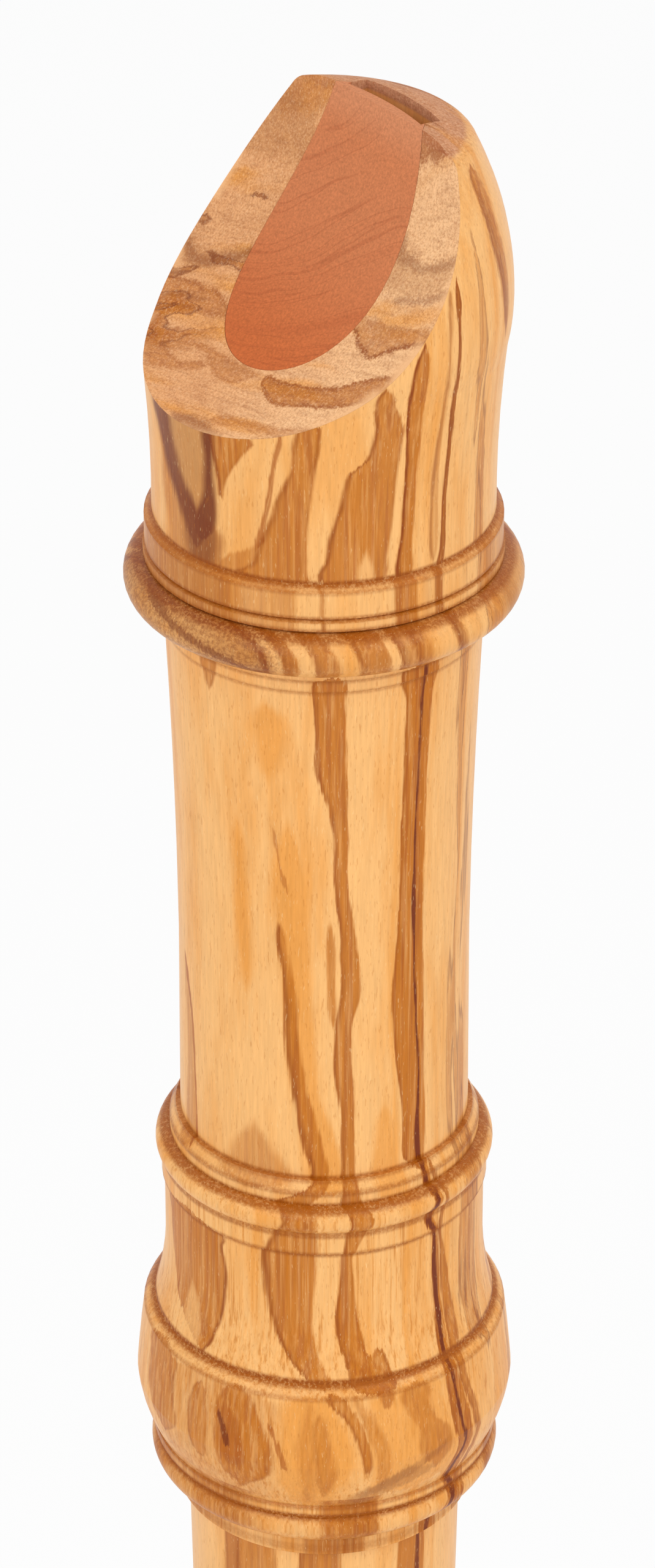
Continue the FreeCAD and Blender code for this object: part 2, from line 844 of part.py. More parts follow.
def main():
    doc = FreeCAD.newDocument("Recorder")
    fill_sheet(doc)
    doc.recompute()
    makers = (foot_joint, foot_tenon_cork, middle_joint, head_tenon_cork, head_joint, block)
    bodies = [make(doc) for make in makers]
    doc.recompute()
    check_document(doc)
    os.makedirs(PARTS_FOLDER, exist_ok=True)
    for body in bodies:
        shape = body.Shape
        if shape.isNull() or not shape.isValid():
            raise RuntimeError(f"{body.Label} has no valid shape")
        shape.exportStep(os.path.join(PARTS_FOLDER, body.Label + ".step"))
        box = shape.optimalBoundingBox()
        print(f"{body.Label}: {len(shape.Solids)} solid, {shape.Volume:.0f} mm3,",
              f"z {box.ZMin:.2f} to {box.ZMax:.2f}, x {box.XMin:.2f} to {box.XMax:.2f}")


main()
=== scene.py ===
import math

import bpy
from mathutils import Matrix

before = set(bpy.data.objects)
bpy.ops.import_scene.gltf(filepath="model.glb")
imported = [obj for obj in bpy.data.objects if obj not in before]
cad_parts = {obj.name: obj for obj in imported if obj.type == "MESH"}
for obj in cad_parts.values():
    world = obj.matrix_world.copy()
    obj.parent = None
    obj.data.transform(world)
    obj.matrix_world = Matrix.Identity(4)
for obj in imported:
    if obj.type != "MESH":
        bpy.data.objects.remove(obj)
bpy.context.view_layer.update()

# Millimetres in a metre
MM = 1000.0


# Node trees, written as arithmetic

class Wire:
    """A number or colour that runs through a material's node tree."""

    def __init__(self, tree, socket):
        self.tree = tree
        self.socket = socket

    def math(self, operation, *others):
        node = self.tree.nodes.new("ShaderNodeMath")
        node.operation = operation
        for socket, value in zip(node.inputs, (self, *others)):
            feed(self.tree, socket, value)
        return Wire(self.tree, node.outputs[0])

    def __add__(self, other):
        return self.math("ADD", other)

    def __sub__(self, other):
        return self.math("SUBTRACT", other)

    def __mul__(self, other):
        return self.math("MULTIPLY", other)

    def __truediv__(self, other):
        return self.math("DIVIDE", other)

    def away(self, other):
        return (self - other).math("ABSOLUTE")

    def most(self, other):
        return self.math("MAXIMUM", other)

    def least(self, other):
        return self.math("MINIMUM", other)

    def rise(self, low, high):
        """0 at low and 1 at high, also where low is the larger.

        The smooth step stays within 0 and 1 without a clamp.
        """
        node = self.tree.nodes.new("ShaderNodeMapRange")
        node.interpolation_type = "SMOOTHSTEP"
        node.clamp = False
        feed(self.tree, node.inputs["Value"], self)
        ends = ((low, 0.0), (high, 1.0)) if low < high else ((high, 1.0), (low, 0.0))
        for (where, result), side in zip(ends, ("Min", "Max")):
            feed(self.tree, node.inputs["From " + side], where)
            feed(self.tree, node.inputs["To " + side], result)
        return Wire(self.tree, node.outputs["Result"])

    def spread(self, low, high):
        """Turn 0 to 1 into low to high."""
        return self.math("MULTIPLY_ADD", high - low, low)

    def scaled(self, span):
        """Where a place lies between the ends of a span, as 0 to 1."""
        low, high = span
        return (self - low) / (high - low)


def feed(tree, socket, value):
    """Link a wire to a socket, or set the socket to a number or colour."""
    if isinstance(value, Wire):
        tree.links.new(value.socket, socket)
    elif isinstance(value, tuple) and len(value) == 3 and len(socket.default_value) == 4:
        socket.default_value = (*value, 1.0)
    else:
        socket.default_value = value


class Wood:
    """A material whose colour is worked out from a point inside the wood, in millimetres."""

    def __init__(self, name):
        self.material = bpy.data.materials.new(name)
        self.material.use_nodes = True
        self.tree = self.material.node_tree
        self.tree.nodes.clear()
        coordinates = self.tree.nodes.new("ShaderNodeTexCoord")
        self.x, self.y, self.z = (w * MM for w in self.split(coordinates.outputs["Object"]))
        self.slope = self.split(coordinates.outputs["Normal"])[2].math("ABSOLUTE")

    def split(self, socket):
        node = self.tree.nodes.new("ShaderNodeSeparateXYZ")
        self.tree.links.new(socket, node.inputs[0])
        return [Wire(self.tree, out) for out in node.outputs]

    def noise(self, x, y, z, detail=2.0, roughness=0.5):
        """Noise of 0 to 1 at a place given in cells."""
        join = self.tree.nodes.new("ShaderNodeCombineXYZ")
        for socket, value in zip(join.inputs, (x, y, z)):
            feed(self.tree, socket, value)
        node = self.tree.nodes.new("ShaderNodeTexNoise")
        node.inputs["Scale"].default_value = 1.0
        node.inputs["Detail"].default_value = detail
        node.inputs["Roughness"].default_value = roughness
        self.tree.links.new(join.outputs[0], node.inputs["Vector"])
        return Wire(self.tree, node.outputs[0])

    def grain(self, across, along, shift=0.0, detail=2.0, roughness=0.5):
        """Noise drawn out along the grain, with so many cells a millimetre."""
        return self.noise(
            self.x * across + shift, self.y * across, self.z * along, detail, roughness
        )

    def paint(self, colour, other, amount):
        """Mix an amount of another colour into a colour."""
        node = self.tree.nodes.new("ShaderNodeMix")
        node.data_type = "RGBA"
        for name, value in (("A_Color", colour), ("B_Color", other), ("Factor_Float", amount)):
            feed(self.tree, next(s for s in node.inputs if s.identifier == name), value)
        return Wire(self.tree, next(s for s in node.outputs if s.identifier == "Result_Color"))

    def shade(self, colour, amount):
        """Make a colour lighter or darker by a number."""
        node = self.tree.nodes.new("ShaderNodeVectorMath")
        node.operation = "SCALE"
        feed(self.tree, node.inputs[0], colour)
        feed(self.tree, node.inputs["Scale"], amount)
        return Wire(self.tree, node.outputs[0])

    def ramp(self, place, span, stops, smooth=True):
        """Read hand-set values, each of 0 to 1, at a place that is scaled to the span."""
        low, high = span
        node = self.tree.nodes.new("ShaderNodeValToRGB")
        band = node.color_ramp
        band.interpolation = "CARDINAL" if smooth else "LINEAR"
        band.elements.remove(band.elements[-1])
        band.elements[0].position = (stops[0][0] - low) / (high - low)
        for stop in stops[1:]:
            band.elements.new((stop[0] - low) / (high - low))
        colours = [[*stop[1:], *(0.0,) * (4 - len(stop)), 1.0] for stop in stops]
        band.elements.foreach_set("color", [value for colour in colours for value in colour])
        feed(self.tree, node.inputs[0], place)
        return Wire(self.tree, node.outputs[0])

    def finish(self, colour, roughness, height, depth, **sockets):
        """The surface: its colour, its roughness and a fine relief of so many millimetres."""
        out = self.tree.nodes.new("ShaderNodeOutputMaterial")
        surface = self.tree.nodes.new("ShaderNodeBsdfPrincipled")
        bump = self.tree.nodes.new("ShaderNodeBump")
        bump.inputs["Strength"].default_value = 1.0
        bump.inputs["Distance"].default_value = depth / MM
        feed(self.tree, bump.inputs["Height"], height)
        self.tree.links.new(bump.outputs[0], surface.inputs["Normal"])
        feed(self.tree, surface.inputs["Base Color"], colour)
        feed(self.tree, surface.inputs["Roughness"], roughness)
        for name, value in sockets.items():
            feed(self.tree, surface.inputs[name.replace("_", " ")], value)
        self.tree.links.new(surface.outputs[0], out.inputs[0])
        return self.material


# The woods and the cork. Colours are linear. The growth layers of the olive lie across the
# Y axis.

TINTS = {
    "cream": (0.93, 0.50, 0.18),
    "honey": (0.83, 0.335, 0.06),
    "brown": (0.535, 0.155, 0.006),
    "russet": (0.40, 0.088, 0.003),
    "grey": (0.42, 0.155, 0.036),
    "plum": (0.19, 0.034, 0.006),
    "deep": (0.17, 0.022, 0.001),
    "line": (0.26, 0.045, 0.002),
    # The dark lines painted along the grooves
    "groove_dark": (0.33, 0.075, 0.003),
    # Painted highlight for the tiny pale glints along the grain
    "painted_glint": (1.0, 0.68, 0.33),
}

# The tints of the figure, from the first painted to the last
ORDER = ("honey", "brown", "cream", "grey", "russet", "plum", "line", "deep")

# The sanded faces of the head, whose tints partly carry painted light
SANDED = {
    # Painted shade: the left of the sanded face is darker
    "left": (0.82, 0.40, 0.18),
    # Painted light: the right of the sanded face is lighter
    "right": (0.98, 0.58, 0.30),
    # The end face: pinkish grey, partly its own tint and partly a painted reflection of the white
    # surroundings
    "end": (0.66, 0.32, 0.19),
    "blotch": (0.42, 0.15, 0.055),
    "outline": (0.30, 0.10, 0.045),
    "speck": (0.36, 0.11, 0.035),
    "scratch": (0.33, 0.11, 0.035),
    "pale speck": (0.95, 0.62, 0.38),
    # A painted highlight along the outer edge of the sanded face
    "painted_edge_highlight": (0.90, 0.50, 0.24),
}

# The block, from its windway side to its back, and the corks
CEDAR = {
    "front": (0.60, 0.20, 0.078),
    "back": (0.56, 0.135, 0.035),
    "stripe": (0.44, 0.10, 0.03),
    "line": (0.34, 0.07, 0.022),
    "end": (0.72, 0.34, 0.18),
}
CORK = {
    "pale": (0.72, 0.38, 0.16),
    "dark": (0.52, 0.23, 0.075),
    "pit": (0.20, 0.07, 0.02),
}

# A ramp holds the edges of a streak as shares of this reach to each side of the axis
PLACES = 20.0

# Streaks of the head, read off the photograph. Each has its tint, strength, softness,
# and how dark its first and last edges are. Then come its heights, and where it starts and
# ends along Y there. It runs out where the two are the same. All but the strength and the
# darkness are millimetres.

SIDE = (
    ("brown", 0.95, 0.10, 0.3, 0.0, (
        (207, 1.0, 2.6), (209.5, 1.2, 2.9), (211, 2.2, 4.2), (212.5, 2.3, 4.0), (214, 1.7, 3.4),
        (217, 2.7, 4.4), (219, 2.3, 4.2), (221, 1.9, 3.8), (223, 1.7, 3.3), (225, 1.6, 2.8),
        (230, 1.65, 2.5), (234, 1.45, 2.2), (237.5, 1.3, 2.0), (239, 0.4, 1.4), (240.5, 1.2, 2.1),
        (242, 0.8, 1.6), (243.4, 0.5, 1.5), (244.2, -0.5, 1.6), (247, -0.6, 1.65),
        (250, -0.75, 1.6), (253, -1.15, 1.5), (257, -1.5, 1.45), (260, -1.55, 1.4),
        (265, -1.15, 1.3), (270, -1.05, 1.2), (276, -1.0, 1.25), (282, -0.9, 1.4),
        (286, -1.0, 1.5), (288.5, -1.4, 1.9),
    )),
    ("honey", 0.75, 0.12, 0.0, 0.0, (
        (250, 1.35, 1.35), (254, 1.0, 1.3), (258, 0.85, 1.2), (264, 0.7, 1.1), (270, 0.55, 0.95),
        (276, 0.5, 1.0), (283, 0.75, 1.2), (288, 0.9, 1.5),
    )),
    ("deep", 0.95, 0.08, 0.0, 0.0, (
        (207, 1.4, 1.75), (209.5, 1.9, 2.3), (211, 2.6, 3.1), (212.5, 2.6, 3.2), (214, 2.0, 2.6),
        (217, 3.3, 3.65), (219, 3.0, 3.35), (221, 2.65, 3.0), (223, 2.3, 2.6), (225, 2.0, 2.4),
        (230, 1.75, 2.25), (234, 1.55, 1.95), (237.5, 1.4, 1.8), (239, 0.6, 1.2),
        (240.5, 1.35, 1.85), (242, 0.95, 1.35), (244, 0.7, 1.2), (247, 0.62, 1.12),
        (249, 0.8, 1.08), (252, 0.85, 1.05), (255, 0.66, 0.85), (258, 0.5, 0.7),
        (262, 0.35, 0.57), (266, 0.22, 0.48), (270, 0.15, 0.4), (275, 0.17, 0.4),
        (279, 0.32, 0.52), (283, 0.38, 0.58), (286, 0.42, 0.62), (288.5, 0.55, 0.75),
    )),
    ("brown", 0.8, 0.1, 0.35, 0.2, (
        (209, 3.6, 3.6), (211, 3.5, 4.3), (214, 3.6, 4.3), (217, 4.7, 5.25), (219, 4.5, 5.15),
        (221, 3.95, 4.7), (223, 3.3, 4.0), (225, 2.95, 3.75), (226.5, 2.85, 4.1),
        (230, 2.6, 3.7), (233, 2.4, 3.2), (236, 2.2, 2.7), (238, 2.0, 2.4), (240.5, 2.3, 2.8),
        (243, 1.6, 2.0), (246, 1.8, 1.8),
    )),
    ("brown", 0.9, 0.08, 0.6, 0.5, (
        (295, 0.9, 0.9), (296.9, 1.0, 1.5), (298, 1.25, 1.8), (300, 1.4, 1.9), (303, 1.5, 1.9),
        (306, 1.7, 2.1), (309, 1.85, 2.25), (312, 1.95, 2.3), (316, 2.1, 2.4), (319.5, 2.1, 2.45),
        (321.5, 2.3, 2.3),
    )),
    ("brown", 0.5, 0.15, 0.3, 0.0, (
        (296, 0.7, 0.7), (298, 0.4, 1.0), (303, 0.3, 1.1), (307, 0.65, 1.1), (311, 1.05, 1.45),
        (315, 1.15, 1.5), (319, 1.4, 1.7), (321, 1.6, 1.6),
    )),
    ("brown", 0.9, 0.12, 0.75, 0.0, (
        (295.8, -2, -2), (297, -2.45, -1.2), (300, -2.2, -1.15), (303, -2.05, -1.0),
        (306, -1.95, -0.9), (309, -2.1, -0.75), (312, -2.1, -0.65), (315, -1.5, -0.6),
        (317.5, -0.8, -0.8),
    )),
    ("brown", 0.85, 0.18, 0.5, 0.15, (
        (296, -5, -5), (297, -7.6, -3.4), (299, -7.3, -3.2), (301, -7.1, -2.9),
        (303, -6.6, -2.75), (305, -6.3, -2.6), (306.2, -6.0, -2.5), (307, -5.0, -2.45),
        (308.3, -4.6, -2.35), (309.5, -4.5, -2.3), (311, -4.6, -3.0), (312.5, -4.4, -3.5),
        (314, -3.8, -3.8),
    )),
    ("cream", 0.8, 0.25, 0.0, 0.0, (
        (295, -4.7, -4.7), (297, -5.2, -4.2), (299, -4.9, -4.5), (301, -4.7, -4.7),
    )),
    ("brown", 0.85, 0.15, 0.35, 0.3, (
        (295.8, -10, -10), (297, -11.6, -8.5), (298, -11.2, -8.4), (300, -10.8, -8.4),
        (302, -10.3, -8.35), (304, -10.0, -8.2), (306, -9.5, -8.1), (310, -9.2, -7.95),
    )),
    ("russet", 0.75, 0.07, 0.0, 0.0, (
        (298, -11, -11), (299.5, -10.95, -10.8), (302, -10.67, -10.5), (304, -10.5, -10.35),
        (306, -10.4, -10.24), (308, -10.27, -10.1), (309.5, -10.1, -10),
    )),
    ("brown", 0.85, 0.3, 0.5, 0.0, (
        (311, 8.4, 8.4), (314, 8.1, 8.6), (316, 7.8, 8.8), (318, 7.5, 8.7), (320, 7.0, 8.4),
        (322, 6.6, 8.0), (324, 6.2, 7.5), (326, 5.9, 6.8),
    )),
    ("plum", 0.35, 0.35, 0.0, 0.0, (
        (312, 8.4, 8.4), (315, 8.0, 8.7), (318, 7.6, 8.2), (321, 7.1, 7.5), (324, 6.5, 6.7),
        (326, 6.1, 6.1),
    )),
    ("brown", 0.88, 0.1, 0.35, 0.1, (
        (225, -6.0, -3.0), (226.5, -6.1, -3.6), (227.8, -6.3, -4.5), (229, -6.5, -4.7),
        (231, -6.6, -5.0), (233, -6.5, -5.2), (235, -6.3, -5.3), (237.3, -6.2, -5.4),
        (240.5, -5.9, -4.2), (242, -6.0, -4.6), (244, -5.5, -4.5), (247, -5.5, -4.5),
        (250, -5.5, -4.45), (253, -5.9, -4.6), (256, -5.9, -4.7), (258, -5.8, -4.6),
        (260, -5.5, -4.1), (262, -5.4, -4.05), (264, -5.5, -4.3), (266, -5.5, -4.5),
        (268, -5.8, -4.75), (271, -6.05, -5.05), (275, -6.1, -5.15), (278, -6.6, -5.2),
        (280, -7.2, -5.3), (283, -7.4, -5.4), (286, -7.5, -5.6), (288.5, -7.6, -5.7),
    )),
    ("brown", 0.8, 0.12, 0.0, 0.0, (
        (255, -5.9, -5.9), (258, -6.1, -5.8), (262, -6.3, -5.8), (266, -6.35, -6.0),
        (270, -6.3, -6.3),
    )),
    ("brown", 0.8, 0.12, 0.0, 0.3, (
        (225, -4.3, -2.8), (226.5, -4.3, -2.95), (227.8, -4.1, -3.3), (229, -3.7, -3.7),
    )),
    ("brown", 0.85, 0.14, 0.45, 0.0, (
        (225.6, -8.8, -7.5), (227, -9.5, -7.85), (229, -10.1, -8.05), (231, -10.4, -8.1),
        (233, -10.6, -8.0), (235, -10.7, -7.85), (237.3, -10.8, -7.9), (239, -10.4, -8.0),
        (240.5, -10.2, -8.2), (242, -9.6, -7.8), (243.6, -7.5, -6.4), (246, -7.7, -6.6),
        (248, -8.0, -6.9), (251, -8.4, -7.4), (254, -8.6, -7.8), (257, -8.8, -8.05),
        (260, -8.8, -8.1), (262, -8.9, -8.35), (264, -9.1, -8.6), (266, -9.2, -8.85),
        (269, -9.2, -9.2),
    )),
    ("honey", 0.8, 0.3, 0.0, 0.0, (
        (243, -7.5, -5.5), (247, -7.6, -5.8), (251, -8.2, -6.8), (258, -8.7, -7.2),
        (266, -9.2, -7.4), (272, -9.4, -7.8), (279, -8.8, -8.8),
    )),
    ("honey", 0.7, 0.4, 0.0, 0.0, (
        (242, -3.1, -1.0), (246, -3.0, -1.2), (249, -2.6, -1.8), (251, -2.1, -2.1),
    )),
    ("brown", 0.8, 0.15, 0.3, 0.1, (
        (215.5, -5.5, -5.5), (218, -5.9, -5.4), (219.5, -6.2, -5.4), (221, -6.5, -5.6),
        (222.5, -7.0, -6.0), (223.5, -7.6, -6.5), (224.8, -8.3, -7.1),
    )),
    ("brown", 0.5, 0.3, 0.1, 0.0, (
        (214.4, -4.4, -4.4), (216.5, -4.7, -3.9), (219, -5.0, -3.8), (221.5, -5.6, -4.5),
        (223.5, -6.2, -5.4), (224.8, -6.4, -6.2),
    )),
    ("brown", 0.6, 0.3, 0.2, 0.0, (
        (214, -8.2, -8.2), (216, -8.9, -8.0), (218.5, -9.3, -8.0), (221, -9.4, -8.3),
        (223, -9.0, -8.6), (224.4, -8.8, -8.8),
    )),
    ("brown", 0.65, 0.35, 0.1, 0.1, (
        (215.5, 0.6, 0.6), (217, -0.4, 1.5), (218, -1.0, 2.0), (219, -1.3, 1.9),
        (220, -1.2, 1.5), (221, -1.5, 0.5), (222.5, -2.2, -0.1), (224.5, -2.6, -0.2),
    )),
    ("russet", 0.6, 0.2, 0.0, 0.0, (
        (222.8, -3.8, -3.8), (223.6, -4.2, -3.5), (224.3, -4.4, -3.3), (225, -4.6, -3.3),
    )),
    ("grey", 0.5, 0.6, 0.0, 0.0, (
        (213.5, -6.5, -5.5), (215, -6.5, -3.2), (216.2, -4.6, 0.6), (217, -3.2, -1.5),
        (218, -2.5, -2.5),
    )),
    ("honey", 0.85, 0.5, 0.0, 0.0, (
        (214, -10, -8), (216, -11.2, -7.4), (219, -11.4, -6.6), (222, -11.2, -7.2),
        (224.5, -10.6, -8.2),
    )),
    ("honey", 0.7, 0.5, 0.0, 0.0, (
        (215, -4.6, 1.5), (217, -5.2, 2.8), (220, -5.4, 2.2), (223, -5.0, 1.2), (224.5, -4.8, 1.0),
    )),
    ("brown", 0.45, 0.35, 0.0, 0.0, (
        (214, -9.4, -9.0), (217, -10.2, -9.2), (220, -10.4, -9.0), (223, -9.8, -9.2),
        (224.4, -9.4, -9.2),
    )),
    ("plum", 0.3, 0.6, 0.0, 0.0, (
        (214, -5.6, -5.6), (215, -5.9, -4.6), (216, -4.9, -2.4), (216.8, -3.4, -0.9),
        (217.6, -1.4, 0.6), (218.4, 0.6, 1.6), (219.2, 1.8, 1.8),
    )),
)

# The same for the back, where the streaks start and end along X
BACK = (
    ("brown", 0.6, 0.5, 0.0, 0.0, (
        (296.9, -1.6, 4.2), (298, -1.6, 4.2), (300, -2.2, 4.0), (302, -2.6, 0.6),
        (304, -2.5, -0.8), (307, -2.6, -2.0), (309, -2.4, -2.4),
    )),
    ("grey", 0.62, 0.4, 0.0, 0.0, (
        (299, 1.8, 1.8), (301, 1.3, 2.3), (302, 0.8, 2.8), (303.5, -0.1, 3.1),
        (305, -0.8, 3.2), (308, -1.7, 3.3),
    )),
    ("plum", 0.9, 0.65, 0.0, 0.0, (
        (296.9, 1.9, 1.9), (298.4, 1.0, 2.8), (300, 0.2, 2.9), (301.2, -0.4, 2.2),
        (302.3, -1.2, 1.3), (303.5, -1.8, 0.4), (305, -2.4, -0.2), (306.5, -3.0, -0.6),
        (308.2, -3.7, -1.0),
    )),
    ("plum", 0.95, 0.4, 0.0, 0.0, (
        (297.6, 2.2, 2.2), (299.3, 1.5, 3.3), (300.5, 1.6, 3.8), (301.6, 2.2, 3.9),
        (302.8, 2.7, 3.9), (304.5, 2.9, 3.8), (306, 3.0, 3.9), (308.5, 3.0, 4.0),
    )),
    ("plum", 0.7, 0.9, 0.0, 0.0, (
        (295.5, 1.8, 3.0), (297.5, 0.8, 3.8), (299.5, 0.6, 4.0), (301, 1.6, 3.2),
    )),
    ("brown", 0.9, 0.15, 0.6, 0.1, (
        (302, 4.3, 4.3), (303, 4.2, 4.45), (304, 4.1, 4.7), (305, 4.0, 5.1), (306, 3.9, 5.7),
        (307, 3.8, 6.3), (308.5, 3.7, 7.0),
    )),
    ("russet", 0.7, 0.08, 0.0, 0.0, (
        (299, 7.3, 7.3), (300, 7.25, 7.42), (301, 7.38, 7.52), (303, 7.72, 7.88),
        (305, 8.02, 8.18), (307, 8.3, 8.48), (309, 8.75, 8.92),
    )),
    ("brown", 0.65, 0.35, 0.0, 0.0, (
        (296.9, 4.0, 9.0), (298, 4.4, 9.0), (299.3, 6.4, 9.2), (300.6, 7.6, 9.4),
        (302, 8.6, 8.6),
    )),
    ("brown", 0.7, 0.2, 0.2, 0.2, (
        (284.8, 1.95, 1.95), (286, 1.7, 2.2), (287, 1.5, 2.6), (288.5, 1.3, 2.9),
    )),
    ("brown", 0.55, 0.6, 0.0, 0.0, (
        (243, 2.6, 7.8), (244.5, 2.9, 7.4), (245.6, 3.3, 6.6), (247, 4.2, 5.8), (249, 5, 5),
    )),
    ("brown", 0.55, 0.3, 0.0, 0.0, (
        (243, -3.2, -1.2), (249, -3.0, -1.6), (254, -3.0, -2.0), (258, -3.4, -3.2),
        (262, -4.0, -4.0),
    )),
    ("russet", 0.8, 0.09, 0.0, 0.0, (
        (243, -1.3, -1.1), (246, -1.4, -1.2), (249, -1.6, -1.38), (252, -1.8, -1.55),
        (255, -2.2, -1.85), (257, -2.8, -2.4), (259, -3.4, -3.1), (264, -4.2, -4.2),
    )),
    ("honey", 0.9, 0.5, 0.0, 0.0, (
        (258, 4.4, 4.4), (261, 4.1, 4.8), (266, 3.6, 5.0), (270, 3.6, 4.7), (274, 3.7, 4.3),
        (277, 4, 4),
    )),
    ("honey", 0.8, 0.6, 0.0, 0.0, (
        (278, 6.6, 6.6), (280, 6.2, 7.0), (282, 5.8, 7.7), (285, 5.8, 7.7), (287, 6.6, 6.6),
    )),
    ("russet", 0.5, 0.06, 0.0, 0.0, (
        (268, 7.6, 7.6), (269.5, 7.38, 7.52), (272, 7.02, 7.16), (275, 6.66, 6.8), (277, 6.4, 6.4),
    )),
    ("brown", 0.85, 0.18, 0.1, 0.6, (
        (225, 2.3, 2.3), (226.5, 1.0, 2.8), (228.5, -1.8, 3.35), (230, -2.6, 3.6),
        (232, -3.2, 3.75), (234, -3.6, 3.85), (236, -3.8, 3.5), (237.5, -4.0, 3.3),
    )),
    ("cream", 0.6, 0.35, 0.0, 0.0, (
        (224.6, -1.2, 1.8), (226, -1.0, 1.6), (228, -0.7, 1.4), (230, -0.4, 0.7), (232.5, 0, 0),
    )),
    ("brown", 0.9, 0.35, 0.1, 0.2, (
        (214, 6.5, 6.5), (216, 5.8, 8.0), (217, 5.3, 9.2), (218.5, 5.0, 9.6), (220, 4.8, 9.4),
        (221.5, 4.6, 8.9), (223, 4.9, 8.2), (224.5, 5.6, 7.4),
    )),
    ("brown", 0.4, 1.0, 0.0, 0.0, (
        (213.8, 0, 8), (217, -2, 9.5), (221, -2.5, 9.5), (224.4, 0, 9),
    )),
    ("russet", 0.5, 0.3, 0.0, 0.0, (
        (216.5, 6.5, 6.5), (218, 5.8, 7.4), (220, 5.3, 7.2), (222, 5.2, 6.6), (224, 5.6, 5.6),
    )),
    ("deep", 0.8, 0.12, 0.0, 0.0, (
        (218.2, 6.3, 6.3), (219.2, 5.95, 6.35), (220, 5.65, 6.15), (221, 5.3, 5.8),
        (221.8, 5.05, 5.4), (222.8, 4.9, 4.9),
    )),
    ("russet", 0.7, 0.09, 0.0, 0.0, (
        (217, 10.6, 10.6), (218, 10.25, 10.5), (219, 9.95, 10.25), (220.5, 9.5, 9.75),
        (222, 9.0, 9.2), (223.5, 8.8, 8.8),
    )),
    ("brown", 0.75, 0.2, 0.3, 0.1, (
        (216, 3.6, 3.6), (217, 3.0, 4.0), (218.5, 2.4, 4.2), (220, 2.1, 4.2), (222, 2.2, 4.1),
        (223.5, 2.7, 3.8), (224.6, 3.3, 3.3),
    )),
    ("brown", 0.8, 0.3, 0.0, 0.3, (
        (216, -1, -1), (217.5, -2.2, 0.0), (218.5, -3.2, 0.9), (220, -4.0, 0.4), (222, -4.0, 0.1),
        (224.6, -4.0, 0.3),
    )),
)

